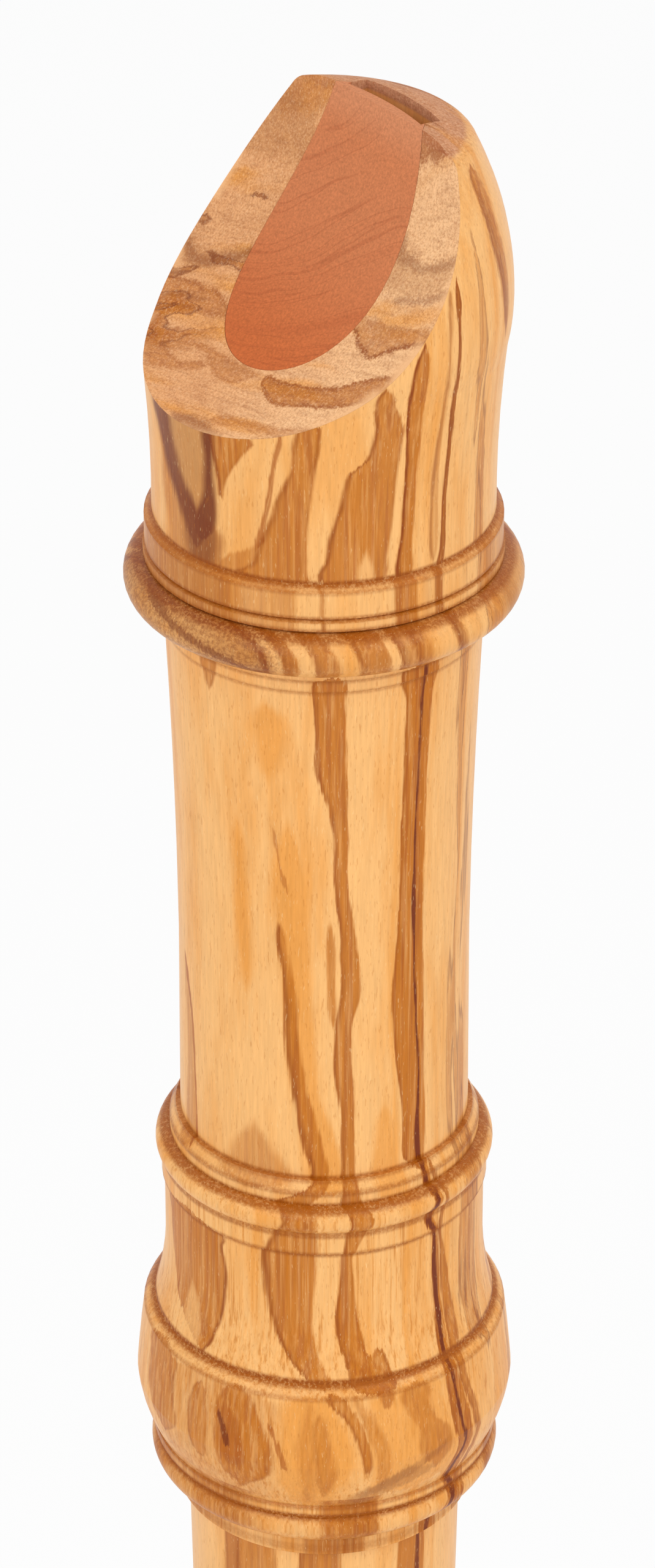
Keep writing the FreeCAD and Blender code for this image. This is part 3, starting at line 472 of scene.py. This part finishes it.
# The same for the beak's cut face: where along X, then from and to in Y
FACE = (
    ("brown", 0.5, 0.35, 0.0, 0.0, (
        (-12, 4.2, 4.2), (-11, 3.6, 4.6), (-9, 3.9, 5.0), (-7, 4.2, 5.4), (-5.5, 4.4, 5.4),
    )),
    ("grey", 0.35, 0.4, 0.0, 0.0, (
        (-13.5, 2.2, 3.2), (-12, 2.1, 4.1), (-10, 2.3, 4.5), (-8, 2.5, 4.3), (-6.5, 2.4, 4.0),
    )),
    ("plum", 0.5, 0.28, 0.0, 0.0, (
        (-14, -3.2, -2.7), (-12.5, -3.65, -3.05), (-11, -3.75, -3.1), (-10, -3.5, -2.75),
        (-9, -3.0, -2.3), (-8, -2.6, -1.9), (-6.5, -1.7, -1.1),
    )),
    ("grey", 0.4, 0.4, 0.0, 0.0, (
        (-14, -3.9, -2.6), (-12, -4.3, -2.9), (-10.5, -3.8, -2.6), (-9, -3.2, -2.0),
        (-7, -2.2, -1.3),
    )),
    ("brown", 0.62, 0.25, 0.3, 0.45, (
        (-14, -6.4, -5.2), (-12, -7.5, -4.9), (-10, -6.6, -4.6), (-8, -6.1, -4.4),
        (-6, -5.8, -4.6), (-4.5, -5.4, -5.2), (-3, -5, -5),
    )),
    ("plum", 0.35, 0.15, 0.0, 0.0, (
        (-13, -6.6, -6.6), (-12, -6.4, -6.1), (-10, -5.8, -5.4), (-8, -5.5, -5.2),
        (-7, -5.3, -5.3),
    )),
    ("brown", 0.5, 0.25, 0.2, 0.2, (
        (-9, -7.9, -7.9), (-8, -8.3, -7.6), (-5, -8.2, -7.6), (-3, -8.3, -7.5), (-1, -9.0, -7.4),
        (1, -8.7, -7.3), (2.2, -7.5, -7.3), (3.2, -7.2, -7.2),
    )),
    ("brown", 0.55, 0.3, 0.1, 0.3, (
        (-13, -8.2, -8.2), (-11, -9.2, -7.9), (-9, -9.8, -8.9), (-7.5, -10.8, -9.1),
        (-6, -10.6, -9.4), (-4.5, -10, -9.3), (-3, -9.3, -8.6), (-1.5, -8.8, -8.8),
    )),
    ("plum", 0.6, 0.35, 0.0, 0.0, (
        (-2, -13, -13), (0, -13.5, -12.6), (2, -13.5, -12.1), (3.5, -13.4, -12.3),
        (5, -13.2, -12.5), (7, -12.4, -12.4),
    )),
    ("russet", 0.6, 0.2, 0.4, 0.0, (
        (4.8, 4.4, 5.4), (6.5, 4.35, 5.4), (8, 4.6, 5.3), (9.5, 4.9, 5.1), (11, 5, 5),
    )),
    ("plum", 0.42, 0.18, 0.0, 0.0, (
        (6.5, 1.65, 2.2), (8, 1.3, 1.85), (9.5, 1.3, 1.75), (11, 1.5, 1.95), (12.5, 2.0, 2.4),
        (14, 2.6, 2.9),
    )),
    ("grey", 0.3, 0.35, 0.0, 0.0, (
        (7, 0.3, 2.0), (9, 0.2, 1.6), (11, 0.6, 1.8), (13, 1.4, 2.4),
    )),
    ("plum", 0.45, 0.16, 0.0, 0.0, (
        (7.5, -0.1, -0.1), (9, -0.15, 0.05), (10, 0.02, 0.28), (11.5, 0.32, 0.65),
        (12.8, 0.8, 1.15), (14, 1.35, 1.6),
    )),
    ("brown", 0.62, 0.22, 0.75, 0.1, (
        (6.5, -2.2, -1.5), (8, -2.8, -1.5), (9, -3.1, -1.3), (10, -3.15, -1.2), (11, -2.6, -1.0),
        (12, -2.0, -0.9), (14, -1.2, -0.5),
    )),
    ("brown", 0.78, 0.18, 0.5, 0.55, (
        (2.4, -7.4, -7.4), (3, -7.8, -7.1), (4, -8.3, -6.9), (5.5, -8.5, -6.6), (7, -8.1, -6.3),
        (8.5, -7.4, -5.8), (10, -6.9, -5.0), (11.5, -6.1, -4.0), (13, -5.2, -3.3),
        (14, -4.6, -2.9),
    )),
    ("brown", 0.45, 0.3, 0.0, 0.2, (
        (1.5, -12.2, -12.2), (3, -12.0, -11.0), (5, -11.2, -10.5), (7, -10.7, -9.9),
        (9, -10.1, -9.2), (12, -8.8, -8.0),
    )),
)

# The middle joint's top, where the figure follows the head's
TOP_SIDE = (
    ("brown", 0.85, 0.12, 0.1, 0.0, (
        (150, -0.6, 1.6), (170, -0.9, 1.4), (190, -0.6, 1.9), (207, -0.5, 2.2),
    )),
    ("deep", 0.9, 0.1, 0.0, 0.0, (
        (150, 0.9, 0.9), (170, 0.8, 1.0), (190, 1.1, 1.4), (207, 1.4, 1.75),
    )),
    ("brown", 0.8, 0.15, 0.3, 0.1, (
        (150, -6.6, -6.2), (170, -7.6, -6.0), (190, -7.4, -5.6), (207, -7.9, -5.2),
    )),
)
TOP_BACK = (
    ("russet", 0.65, 0.3, 0.4, 0.2, (
        (165, 2.0, 2.0), (180, 1.8, 2.3), (195, 1.6, 2.7), (207, 1.6, 3.0),
    )),
    ("brown", 0.75, 0.3, 0.0, 0.2, (
        (150, 4.2, 4.2), (170, 3.2, 5.0), (190, 2.8, 5.4), (207, 2.8, 6.0),
    )),
)

# The torus from behind, where a dark streak crosses it
TORUS_BACK = (
    ("cream", 0.5, 1.0, 0.0, 0.0, (
        (290.0, 2.0, 5.0), (291.0, 0.5, 3.0), (292.2, 3.5, 6.0), (293.2, 0.5, 5.0),
    )),
    ("plum", 0.62, 0.5, 0.0, 0.0, (
        (289.8, 8.0, 9.5), (290.6, 6.2, 8.0), (291.4, 3.2, 6.0), (292.2, 0.0, 2.5),
        (293.2, -3.5, -0.8),
    )),
)

# Across the narrow rings the figure is read once: place along Y, then brown, dark and grey
TORUS = (
    (-15.2, 0.2, 0, 0.35), (-12.4, 0.2, 0.1, 0.5), (-12, 0.5, 0.85, 0.4), (-11.6, 0.2, 0.1, 0.2),
    (-11.2, 0.1, 0, 0), (-10.9, 0.8, 0.5, 0), (-10.3, 0.85, 0.15, 0), (-10.1, 0.1, 0, 0),
    (-9.4, 0.1, 0, 0), (-9.1, 0.7, 0.55, 0), (-8.7, 0.8, 0.1, 0), (-8, 0.8, 0.15, 0),
    (-7.7, 0.1, 0, 0), (-6.6, 0.05, 0, 0), (-6.3, 0.75, 0.55, 0), (-5.8, 0.8, 0.1, 0),
    (-4.4, 0.8, 0.2, 0), (-4.1, 0.05, 0, 0), (-3.6, 0.1, 0, 0), (-3.4, 0.8, 0.6, 0.2),
    (-2.6, 0.5, 0.1, 0), (-2, 0.85, 0.5, 0), (-1, 0.6, 0, 0), (-0.5, 0.05, 0, 0),
    (1.3, 0.1, 0, 0), (1.7, 0.7, 0.8, 0.2), (2.3, 0.5, 0.3, 0.1), (2.6, 0, 0, 0),
    (6.5, 0.1, 0, 0), (8, 0.6, 0.1, 0.4), (10, 0.4, 0, 0.2),
)
COLLAR = (
    (-13.8, 0.75, 0.15, 0.2), (-12.4, 0.75, 0.1, 0.1), (-12, 0.45, 0, 0), (-9.6, 0.6, 0, 0),
    (-9.2, 0, 0, 0), (-8.1, 0, 0, 0), (-7.9, 0.8, 0.3, 0), (-7.6, 0, 0, 0), (-3.1, 0, 0, 0),
    (-2.8, 0.85, 0.2, 0), (-1.2, 0.85, 0, 0), (-1, 0, 0, 0), (-0.2, 0.3, 0, 0), (0.3, 0, 0, 0),
    (0.7, 0.9, 0.5, 0), (1.15, 0.8, 0.3, 0), (1.3, 0, 0, 0), (6, 0.05, 0, 0), (7, 0.7, 0.2, 0),
    (8, 0.4, 0, 0), (10, 0.7, 0.1, 0),
)
MOUTH = (
    (-14.2, 0.5, 0, 0), (-13, 0.85, 0.25, 0), (-12, 0.5, 0, 0), (-11, 0.1, 0, 0),
    (-8.6, 0.2, 0, 0), (-8, 0.75, 0, 0), (-4.9, 0.9, 0.35, 0), (-4.2, 0.7, 0.1, 0),
    (-4, 0.1, 0, 0), (1.2, 0.1, 0, 0), (4.5, 0.1, 0, 0), (7, 0.1, 0, 0), (8, 0.8, 0.5, 0),
    (9.5, 0.5, 0.1, 0), (12, 0.7, 0, 0),
)

# Grooves, each with a dark and fuzzy line painted along it: height, half width, strength
GROOVE_LINES = (
    (297.0, 0.12, 0.85), (296.5, 0.04, 0.4), (294.35, 0.1, 0.7), (293.2, 0.3, 0.75),
    (288.45, 0.07, 0.45), (287.4, 0.06, 0.4), (243.7, 0.08, 0.55), (242.7, 0.1, 0.55),
    (241.6, 0.2, 0.8), (239.3, 0.2, 0.6), (237.4, 0.15, 0.6), (225.6, 0.2, 0.9),
    (224.6, 0.05, 0.4), (213.5, 0.1, 0.5), (212.5, 0.25, 0.9), (209.7, 0.12, 0.5),
    (208.0, 0.3, 0.3),
)

# Spans that the tables cover
HEAD_SPAN = (205.0, 330.0)
TORUS_SPAN = (289.0, 294.0)
FACE_SPAN = (-15.0, 15.0)
RING_SPAN = (-16.0, 16.0)
TOP_SPAN = (149.0, 210.0)

# The heights in the middle of the head's rings
TORUS_MIDDLE = 291.6
COLLAR_MIDDLE = 295.15
MOUTH_MIDDLE = 210.7

# Where the barrel's foot begins, going down, and the flat end of the beak, going up
BARREL_FOOT = (244.0, 240.0)
END_FACE = (327.0, 327.3)

# The cylinder that cuts the beak away: its axis in Y and Z, and its radius
BEAK_AXIS = (-21.8, 333.8)
BEAK_RADIUS = 27.3

# The way in X and Y to the side that the camera doesn't see
AWAY = (-0.817, 0.576)

# How far the growth layers lean along X
LEAN = 0.2

# A streak's dark rim: how far inside the edge it lies, how far it reaches, and its strength
RIM_INSET = 0.08
RIM_REACH = 0.35
RIM_STRENGTH = 1.3

# Where a streak runs out, its edges cross by this much to each side
CROSSING = 0.6

# A streak is closed past its last point by this share of its span
CLOSING = 1.0 / 200.0


def most(first, second):
    """The larger of two amounts, of which the first may be missing."""
    return second if first is None else first.most(second)


def streak_group():
    """One streak: what was there before goes in, and comes out with the streak added."""
    tree = bpy.data.node_groups.new("streak", "ShaderNodeTree")
    tree.interface.new_socket(name="Edges", in_out="INPUT", socket_type="NodeSocketColor")
    numbers = (
        "Across", "Where", "Softness", "Strength", "First edge", "Last edge", "Tint", "Line",
    )
    for number in numbers:
        tree.interface.new_socket(name=number, in_out="INPUT", socket_type="NodeSocketFloat")
    for number in ("Tint", "Line"):
        tree.interface.new_socket(name=number, in_out="OUTPUT", socket_type="NodeSocketFloat")
    given = tree.nodes.new("NodeGroupInput")
    edges = tree.nodes.new("ShaderNodeSeparateColor")
    tree.links.new(given.outputs["Edges"], edges.inputs[0])
    start, end, _ = (Wire(tree, out) for out in edges.outputs)
    across, where, softness, strength, first, last, tint, line = (
        Wire(tree, given.outputs[number]) for number in numbers
    )
    after = across - start.spread(-PLACES, PLACES)
    before = end.spread(-PLACES, PLACES) - across
    inside = (after.least(before) / softness).rise(-1.0, 1.0) * where
    rims = (after.away(RIM_INSET).rise(RIM_REACH, 0.0) * first).most(
        before.away(RIM_INSET).rise(RIM_REACH, 0.0) * last
    ) * RIM_STRENGTH
    result = tree.nodes.new("NodeGroupOutput")
    feed(tree, result.inputs["Tint"], tint.most(inside * strength))
    feed(tree, result.inputs["Line"], line.most(inside * rims))
    return tree


STREAK = streak_group()


def streaks(wood, amounts, place, span, across, where, entries):
    """Add the listed streaks to the amounts of each tint.

    Their edges are read at a place that is scaled to the span, and each fills what lies
    between its edges, across the layers.
    """
    low, high = span
    reach = (high - low) * CLOSING
    for tint, strength, softness, first_edge, last_edge, points in entries:
        first, *first_ends = points[0]
        last, *last_ends = points[-1]
        closed = [*points, (last + reach, *[sum(last_ends) / 2] * 2)]
        if first - reach > low:
            closed.insert(0, (first - reach, *[sum(first_ends) / 2] * 2))
        stops = []
        for height, start, end in closed:
            if start == end:
                start, end = start + CROSSING, end - CROSSING
            stops.append((height, 0.5 + start / 2 / PLACES, 0.5 + end / 2 / PLACES))
        edges = wood.ramp(place, span, stops)
        node = wood.tree.nodes.new("ShaderNodeGroup")
        node.node_tree = STREAK
        for name, value in (
            ("Edges", edges), ("Across", across), ("Where", where), ("Softness", softness),
            ("Strength", strength), ("First edge", first_edge), ("Last edge", last_edge),
            ("Tint", amounts.get(tint, 0.0)), ("Line", amounts.get("line", 0.0)),
        ):
            feed(wood.tree, node.inputs[name], value)
        amounts[tint] = Wire(wood.tree, node.outputs["Tint"])
        amounts["line"] = Wire(wood.tree, node.outputs["Line"])


def head_figure(wood, amounts, frayed, jitter):
    """The head's streaks and rings. Gives where it is cut, where turned, and its torus.

    The renderer has little room for so many nodes, and they fit as long as they are made in
    this order and every ramp's place depends on a noise.
    """
    x, y, z = wood.x, wood.y, wood.z
    cut = (
        (y - BEAK_AXIS[0]) * (y - BEAK_AXIS[0]) + (z - BEAK_AXIS[1]) * (z - BEAK_AXIS[1])
    ).math("SQRT").rise(BEAK_RADIUS + 0.06, BEAK_RADIUS + 0.02)
    turned = cut.spread(1.0, 0.0)
    torus = z.away(TORUS_MIDDLE).rise(1.8, 1.7)
    collar = z.away(COLLAR_MIDDLE).rise(1.85, 1.8)
    mouth = z.away(MOUTH_MIDDLE).rise(3.9, 3.75)
    plain = torus.most(collar).spread(1.0, 0.0)
    side = turned * plain * x.rise(-2.0, 0.0)
    back = turned * plain * y.rise(-4.0, -5.5)
    height = (z + frayed * 1.2).scaled(HEAD_SPAN)
    streaks(wood, amounts, height, HEAD_SPAN, y + jitter, side, SIDE)
    streaks(wood, amounts, height, HEAD_SPAN, x + jitter, back, BACK)
    torus_back = torus * turned * y.rise(-4.0, -5.5)
    height = (z + frayed * 0.9).scaled(TORUS_SPAN)
    streaks(wood, amounts, height, TORUS_SPAN, x + jitter * 1.5, torus_back, TORUS_BACK)
    blur = wood.noise(x * 0.8, y * 0.8, z * 0.3, 3.0, 0.6) - 0.5
    specks = wood.noise(x * 5.0, y * 5.0, z * 5.0, 2.0, 0.6) - 0.5
    rough_y = y + blur * 0.9 + specks * 0.7
    right = (x + blur * 0.9).scaled(FACE_SPAN)
    streaks(wood, amounts, right, FACE_SPAN, rough_y, cut, FACE)
    for band, place, pattern in (
        (torus, y + jitter * 1.5 + (z - TORUS_MIDDLE) * 0.25, TORUS),
        (collar, y + jitter, COLLAR),
        (mouth, y + jitter * 1.5, MOUTH),
    ):
        band = band * turned
        place = place.scaled(RING_SPAN)
        read = wood.tree.nodes.new("ShaderNodeSeparateColor")
        feed(wood.tree, read.inputs[0], wood.ramp(place, RING_SPAN, pattern, smooth=False))
        for tint, out in zip(("brown", "line", "grey"), read.outputs):
            amounts[tint] = most(amounts.get(tint), Wire(wood.tree, out) * band)
    return cut, turned, torus


def top_figure(wood, amounts, hidden, wander, frayed, jitter):
    """The streaks on the seen side of the middle joint's top."""
    x, y, z = wood.x, wood.y, wood.z
    seen = hidden.spread(1.0, 0.0)
    height = (z + frayed * 1.2).scaled(TOP_SPAN)
    drift = jitter + wander * 0.6
    streaks(wood, amounts, height, TOP_SPAN, y + drift, seen * x.rise(-2.0, 0.0), TOP_SIDE)
    streaks(wood, amounts, height, TOP_SPAN, x + drift, seen * y.rise(-3.0, -5.0), TOP_BACK)


def dark_grooves(height_here, turned, fuzz):
    """How dark the lines along the turned grooves are at a height."""
    groove_dark = None
    for height, half, strength in GROOVE_LINES:
        line = height_here.away(height).rise(half + 0.3, half * 0.6) * strength
        groove_dark = most(groove_dark, line)
    return groove_dark * turned * fuzz.rise(0.3, 0.6).spread(0.6, 1.15)


def sand(wood, colour):
    """Turn a colour into that of a sanded face. Gives it with the specks that roughen it."""
    x, y, z = wood.x, wood.y, wood.z
    speck = wood.grain(5.5, 5.5, 3.0, 3.0, 0.7)
    blotch = wood.noise(x * 0.5, y * 0.9, z * 0.5 + 9, 4.0, 0.7)
    colour = wood.paint(colour, SANDED["blotch"], blotch.rise(0.5, 0.72) * 0.3)
    colour = wood.paint(colour, SANDED["outline"], blotch.away(0.56).rise(0.012, 0.0) * 0.3)
    colour = wood.paint(colour, SANDED["speck"], speck.rise(0.42, 0.72) * 0.5)
    scratches = wood.noise(x * 0.12, (y - x * LEAN) * 3.2, z * 1.5, 2.0, 0.6)
    colour = wood.paint(colour, SANDED["scratch"], scratches.rise(0.48, 0.72) * 0.24)
    colour = wood.paint(colour, SANDED["pale speck"], speck.rise(0.5, 0.25) * 0.35)
    # Painted highlight: the sanded face is lighter in patches near its outer edge
    lit = wood.noise(x * 0.3, y * 0.3, z * 0.3 + 4, 1.0).rise(0.4, 0.6)
    colour = wood.paint(colour, SANDED["painted_edge_highlight"], (x * x + y * y).rise(160.0, 196.0) * lit)
    return colour, speck


def olive(name, shift, head=False, top=False):
    """Olive wood, cut from a place in the log given by shift."""
    wood = Wood(name)
    x, y, z = wood.x, wood.y, wood.z
    wander = wood.grain(0.12, 0.03, shift) - 0.5
    ragged = wood.grain(1.5, 0.2, shift, 3.0, 0.6) - 0.5
    frayed = wood.grain(4.5, 0.16, shift, 3.0, 0.65) - 0.5
    jitter = ragged * 0.3 + frayed * 0.42
    layer = y - x * LEAN + wander * 2.6 + jitter

    # The usual figure: bands of the layers, drawn out along the grain, with dark outlines
    figure = wood.noise(layer * 0.24 + shift, x * 0.05, z * 0.012 + shift, 3.0, 0.55)
    faint = wood.noise(layer * 0.6 + shift, x * 0.1, z * 0.02 - shift, 2.0, 0.5)
    hidden = None
    if head or top:
        hidden = (x * AWAY[0] + y * AWAY[1]).rise(-1.5, 2.5)
        hidden = hidden.most(y.rise(3.0, 5.0) * 0.7 if head else z.rise(185.0, 150.0))
    amounts = {
        "honey": faint.rise(0.5, 0.72) * 0.8,
        "brown": figure.rise(0.54, 0.575) * 0.9,
        "deep": figure.away(0.552).rise(0.010, 0.0).most(
            figure.away(0.612).rise(0.012, 0.0)
        ) * 0.7,
    }
    if hidden is not None:
        for tint in ("brown", "deep"):
            amounts[tint] = amounts[tint] * hidden
    if head:
        cut, turned, torus = head_figure(wood, amounts, frayed, jitter)
    if top:
        top_figure(wood, amounts, hidden, wander, frayed, jitter)

    # Fibres and pores along the grain, and pale glints that are painted highlights
    fibre = wood.grain(5.0, 0.3, shift, 3.0, 0.62)
    lines = wood.grain(2.2, 0.05, shift + 3, 3.0, 0.6)
    pores = wood.grain(8.0, 1.1, shift + 5, 1.0).rise(0.64, 0.72)
    painted_glints = wood.grain(9.0, 1.4, shift + 11, 1.0).rise(0.68, 0.74)
    cloud = wood.grain(0.35, 0.06, shift, 3.0, 0.6)
    colour = wood.paint(TINTS["cream"], TINTS["honey"], cloud.rise(0.42, 0.72) * 0.55)
    if head:
        # The beak's cut and the end face are sanded, not turned
        end = z.rise(*END_FACE)
        matt = cut.most(end)
        # Painted light: the sanded face runs from painted shade at the left to painted light at
        # the right
        pale = wood.paint(SANDED["left"], SANDED["right"], x.rise(-2.0, 11.0))
        # The end face's tint, partly a painted reflection of the white surroundings
        pale = wood.paint(pale, SANDED["end"], end)
        colour = wood.paint(colour, pale, matt * 0.85)
    darker = wood.paint(TINTS["brown"], TINTS["russet"], lines.rise(0.47, 0.62) * 0.75)
    threads = wood.grain(3.2, 0.09, shift + 8, 3.0, 0.65)
    worn = threads.rise(0.3, 0.55)
    if head:
        low = z.rise(*BARREL_FOOT) * turned
        colour = wood.paint(colour, TINTS["honey"], low * threads.rise(0.42, 0.64) * 0.35)
        colour = wood.paint(colour, TINTS["brown"], low * threads.rise(0.54, 0.68) * 0.5)
    for tint in ORDER:
        if tint in amounts:
            amount = amounts[tint]
            if tint in ("brown", "line"):
                amount = amount * worn.spread(0.62, 1.0)
            colour = wood.paint(colour, darker if tint == "brown" else TINTS[tint], amount)

    # Where the surface cuts across the fibres it drinks more oil
    across = wood.slope.rise(0.2, 0.85)
    fuzz = wood.grain(4.0, 4.0, 31.0, 3.0, 0.65)
    if head:
        # Dark fuzzy lines painted along the grooves
        colour = wood.paint(colour, TINTS["groove_dark"], dark_grooves(z, turned, fuzz))
        across = across * turned * torus.spread(1.0, 0.2)
    colour = wood.paint(colour, TINTS["brown"], across * fuzz.rise(0.3, 0.7) * 0.36)
    colour = wood.paint(colour, TINTS["russet"], across * fuzz.rise(0.5, 0.8) * 0.25)
    if head:
        stain = torus * turned * y.rise(-9.5, -12.0) * fuzz.rise(0.35, 0.65)
        colour = wood.paint(colour, TINTS["plum"], stain * 0.5)
    colour = wood.shade(colour, fibre.spread(0.78, 1.16))
    colour = wood.paint(colour, TINTS["brown"], pores * 0.3)
    # Painted highlights: tiny pale glints along the grain
    colour = wood.paint(colour, TINTS["painted_glint"], painted_glints * 0.28)
    relief = fibre * 0.6 - pores * 0.5
    roughness = fibre.spread(0.34, 0.46)

    if head:
        sanded, speck = sand(wood, colour)
        colour = wood.paint(colour, sanded, matt)
        roughness = roughness + matt * 0.4
        relief = relief + speck * matt * 2.0
    return wood.finish(
        colour, roughness, relief, depth=0.02, Specular_IOR_Level=0.1,
        Coat_Weight=0.12, Coat_Roughness=0.12,
    )


def cedar(name):
    """Red cedar: fine lines that follow the growth rings, and a soft speckle."""
    wood = Wood(name)
    x, y, z = wood.x, wood.y, wood.z
    bend = wood.noise(x * 0.09, y * 0.12, z * 0.05, 2.0) - 0.5
    ring = x * -0.3 + y + bend * 3.5
    stripes = wood.noise(ring * 0.9, x * 0.02, z * 0.01, 2.0, 0.6)
    thin = stripes.away(0.52).rise(0.02, 0.0)
    speck = wood.grain(5.0, 5.0, 17.0, 3.0, 0.65)
    colour = wood.paint(CEDAR["front"], CEDAR["back"], y.rise(3.0, -7.0))
    colour = wood.paint(colour, CEDAR["stripe"], stripes.rise(0.5, 0.75) * 0.3)
    colour = wood.paint(colour, CEDAR["line"], thin * 0.3)
    colour = wood.paint(colour, CEDAR["end"], z.rise(324.5, 328.0) * 0.35)
    colour = wood.shade(colour, speck.spread(0.55, 1.45))
    return wood.finish(colour, 0.8, speck, depth=0.015, Specular_IOR_Level=0.2)


def cork(name):
    """Cork sheet: pale cells with dark pits."""
    wood = Wood(name)
    cells = wood.grain(2.2, 2.2, 0.0, 4.0, 0.7)
    pits = wood.grain(1.3, 2.6, 40.0, 2.0).rise(0.64, 0.72)
    colour = wood.paint(CORK["pale"], CORK["dark"], cells.rise(0.35, 0.7))
    colour = wood.paint(colour, CORK["pit"], pits)
    return wood.finish(colour, 0.85, cells - pits * 2.0, depth=0.03, Specular_IOR_Level=0.15)


looks = {
    "head_joint": olive("olive_head", 0.0, head=True),
    "middle_joint": olive("olive_middle", 21.0, top=True),
    "foot_joint": olive("olive_foot", 47.0),
    "block": cedar("cedar"),
    "head_tenon_cork": cork("cork"),
}
looks["foot_tenon_cork"] = looks["head_tenon_cork"]
for name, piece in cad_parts.items():
    piece.data.materials.clear()
    piece.data.materials.append(looks[name])


# Floor, light and camera, in metres and watts

FLOOR_SIZE = 8.0
FLOOR_GREY = 0.9

# How much of the floor that the camera sees is plain white, and how bright the sky is when it
# lights the recorder and when it is seen
FLOOR_WHITE = 0.85
SKY = (0.8, 1.0)

SOFTBOX_SIZE = 0.9
SOFTBOX_TARGET = (0.0, 0.0, 0.25)

# The camera's place, and by how many degrees it looks down and is turned round
CAMERA_PLACE = (0.3146, -0.2219, 0.4986)
CAMERA_DOWN = 30.42
CAMERA_ROUND = 54.763


def seen_white(tree):
    """1 for what the camera sees, straight or in a gloss or through glass."""
    path = tree.nodes.new("ShaderNodeLightPath")
    seen = Wire(tree, path.outputs["Is Camera Ray"])
    for name in ("Is Glossy Ray", "Is Transmission Ray"):
        seen = seen.most(Wire(tree, path.outputs[name]))
    return seen


def paper(name):
    """White paper, which still takes a soft shadow."""
    material = bpy.data.materials.new(name)
    material.use_nodes = True
    tree = material.node_tree
    tree.nodes.clear()
    out = tree.nodes.new("ShaderNodeOutputMaterial")
    mix = tree.nodes.new("ShaderNodeMixShader")
    matt = tree.nodes.new("ShaderNodeBsdfDiffuse")
    matt.inputs["Color"].default_value = (FLOOR_GREY, FLOOR_GREY, FLOOR_GREY, 1.0)
    glow = tree.nodes.new("ShaderNodeEmission")
    glow.inputs["Strength"].default_value = 1.0
    feed(tree, mix.inputs[0], seen_white(tree) * FLOOR_WHITE)
    tree.links.new(matt.outputs[0], mix.inputs[1])
    tree.links.new(glow.outputs[0], mix.inputs[2])
    tree.links.new(mix.outputs[0], out.inputs[0])
    return material


bpy.ops.mesh.primitive_plane_add(size=FLOOR_SIZE, location=(0.0, 0.0, 0.0))
floor = bpy.context.object
floor.name = "floor"
floor.data.materials.append(paper("paper"))

world = bpy.data.worlds.new("studio")
bpy.context.scene.world = world
world.use_nodes = True
sky = world.node_tree.nodes["Background"]
sky.inputs["Color"].default_value = (1.0, 1.0, 1.0, 1.0)
feed(world.node_tree, sky.inputs["Strength"], seen_white(world.node_tree).spread(*SKY))


def softbox(name, place, power):
    """A square lamp that points at the recorder."""
    lamp = bpy.data.lights.new(name, "AREA")
    lamp.shape = "RECTANGLE"
    lamp.size = SOFTBOX_SIZE
    lamp.size_y = SOFTBOX_SIZE
    lamp.energy = power
    stand = bpy.data.objects.new(name, lamp)
    bpy.context.scene.collection.objects.link(stand)
    stand.location = place
    aim = [t - p for t, p in zip(SOFTBOX_TARGET, place)]
    flat = math.hypot(aim[0], aim[1])
    stand.rotation_euler = (math.atan2(flat, -aim[2]), 0.0, math.atan2(-aim[0], aim[1]))


softbox("key", place=(1.0, 0.35, 1.2), power=4.5)
softbox("fill", place=(0.5, -1.1, 0.9), power=4.0)

camera_data = bpy.data.cameras.new("camera")
camera_data.lens = 133.17
camera_data.sensor_width = 36.0
camera_data.clip_start = 0.01
camera = bpy.data.objects.new("camera", camera_data)
bpy.context.scene.collection.objects.link(camera)
camera.location = CAMERA_PLACE
camera.rotation_euler = (math.radians(90.0 - CAMERA_DOWN), 0.0, math.radians(CAMERA_ROUND))
bpy.context.scene.camera = camera
bpy.context.scene.view_settings.view_transform = "Standard"
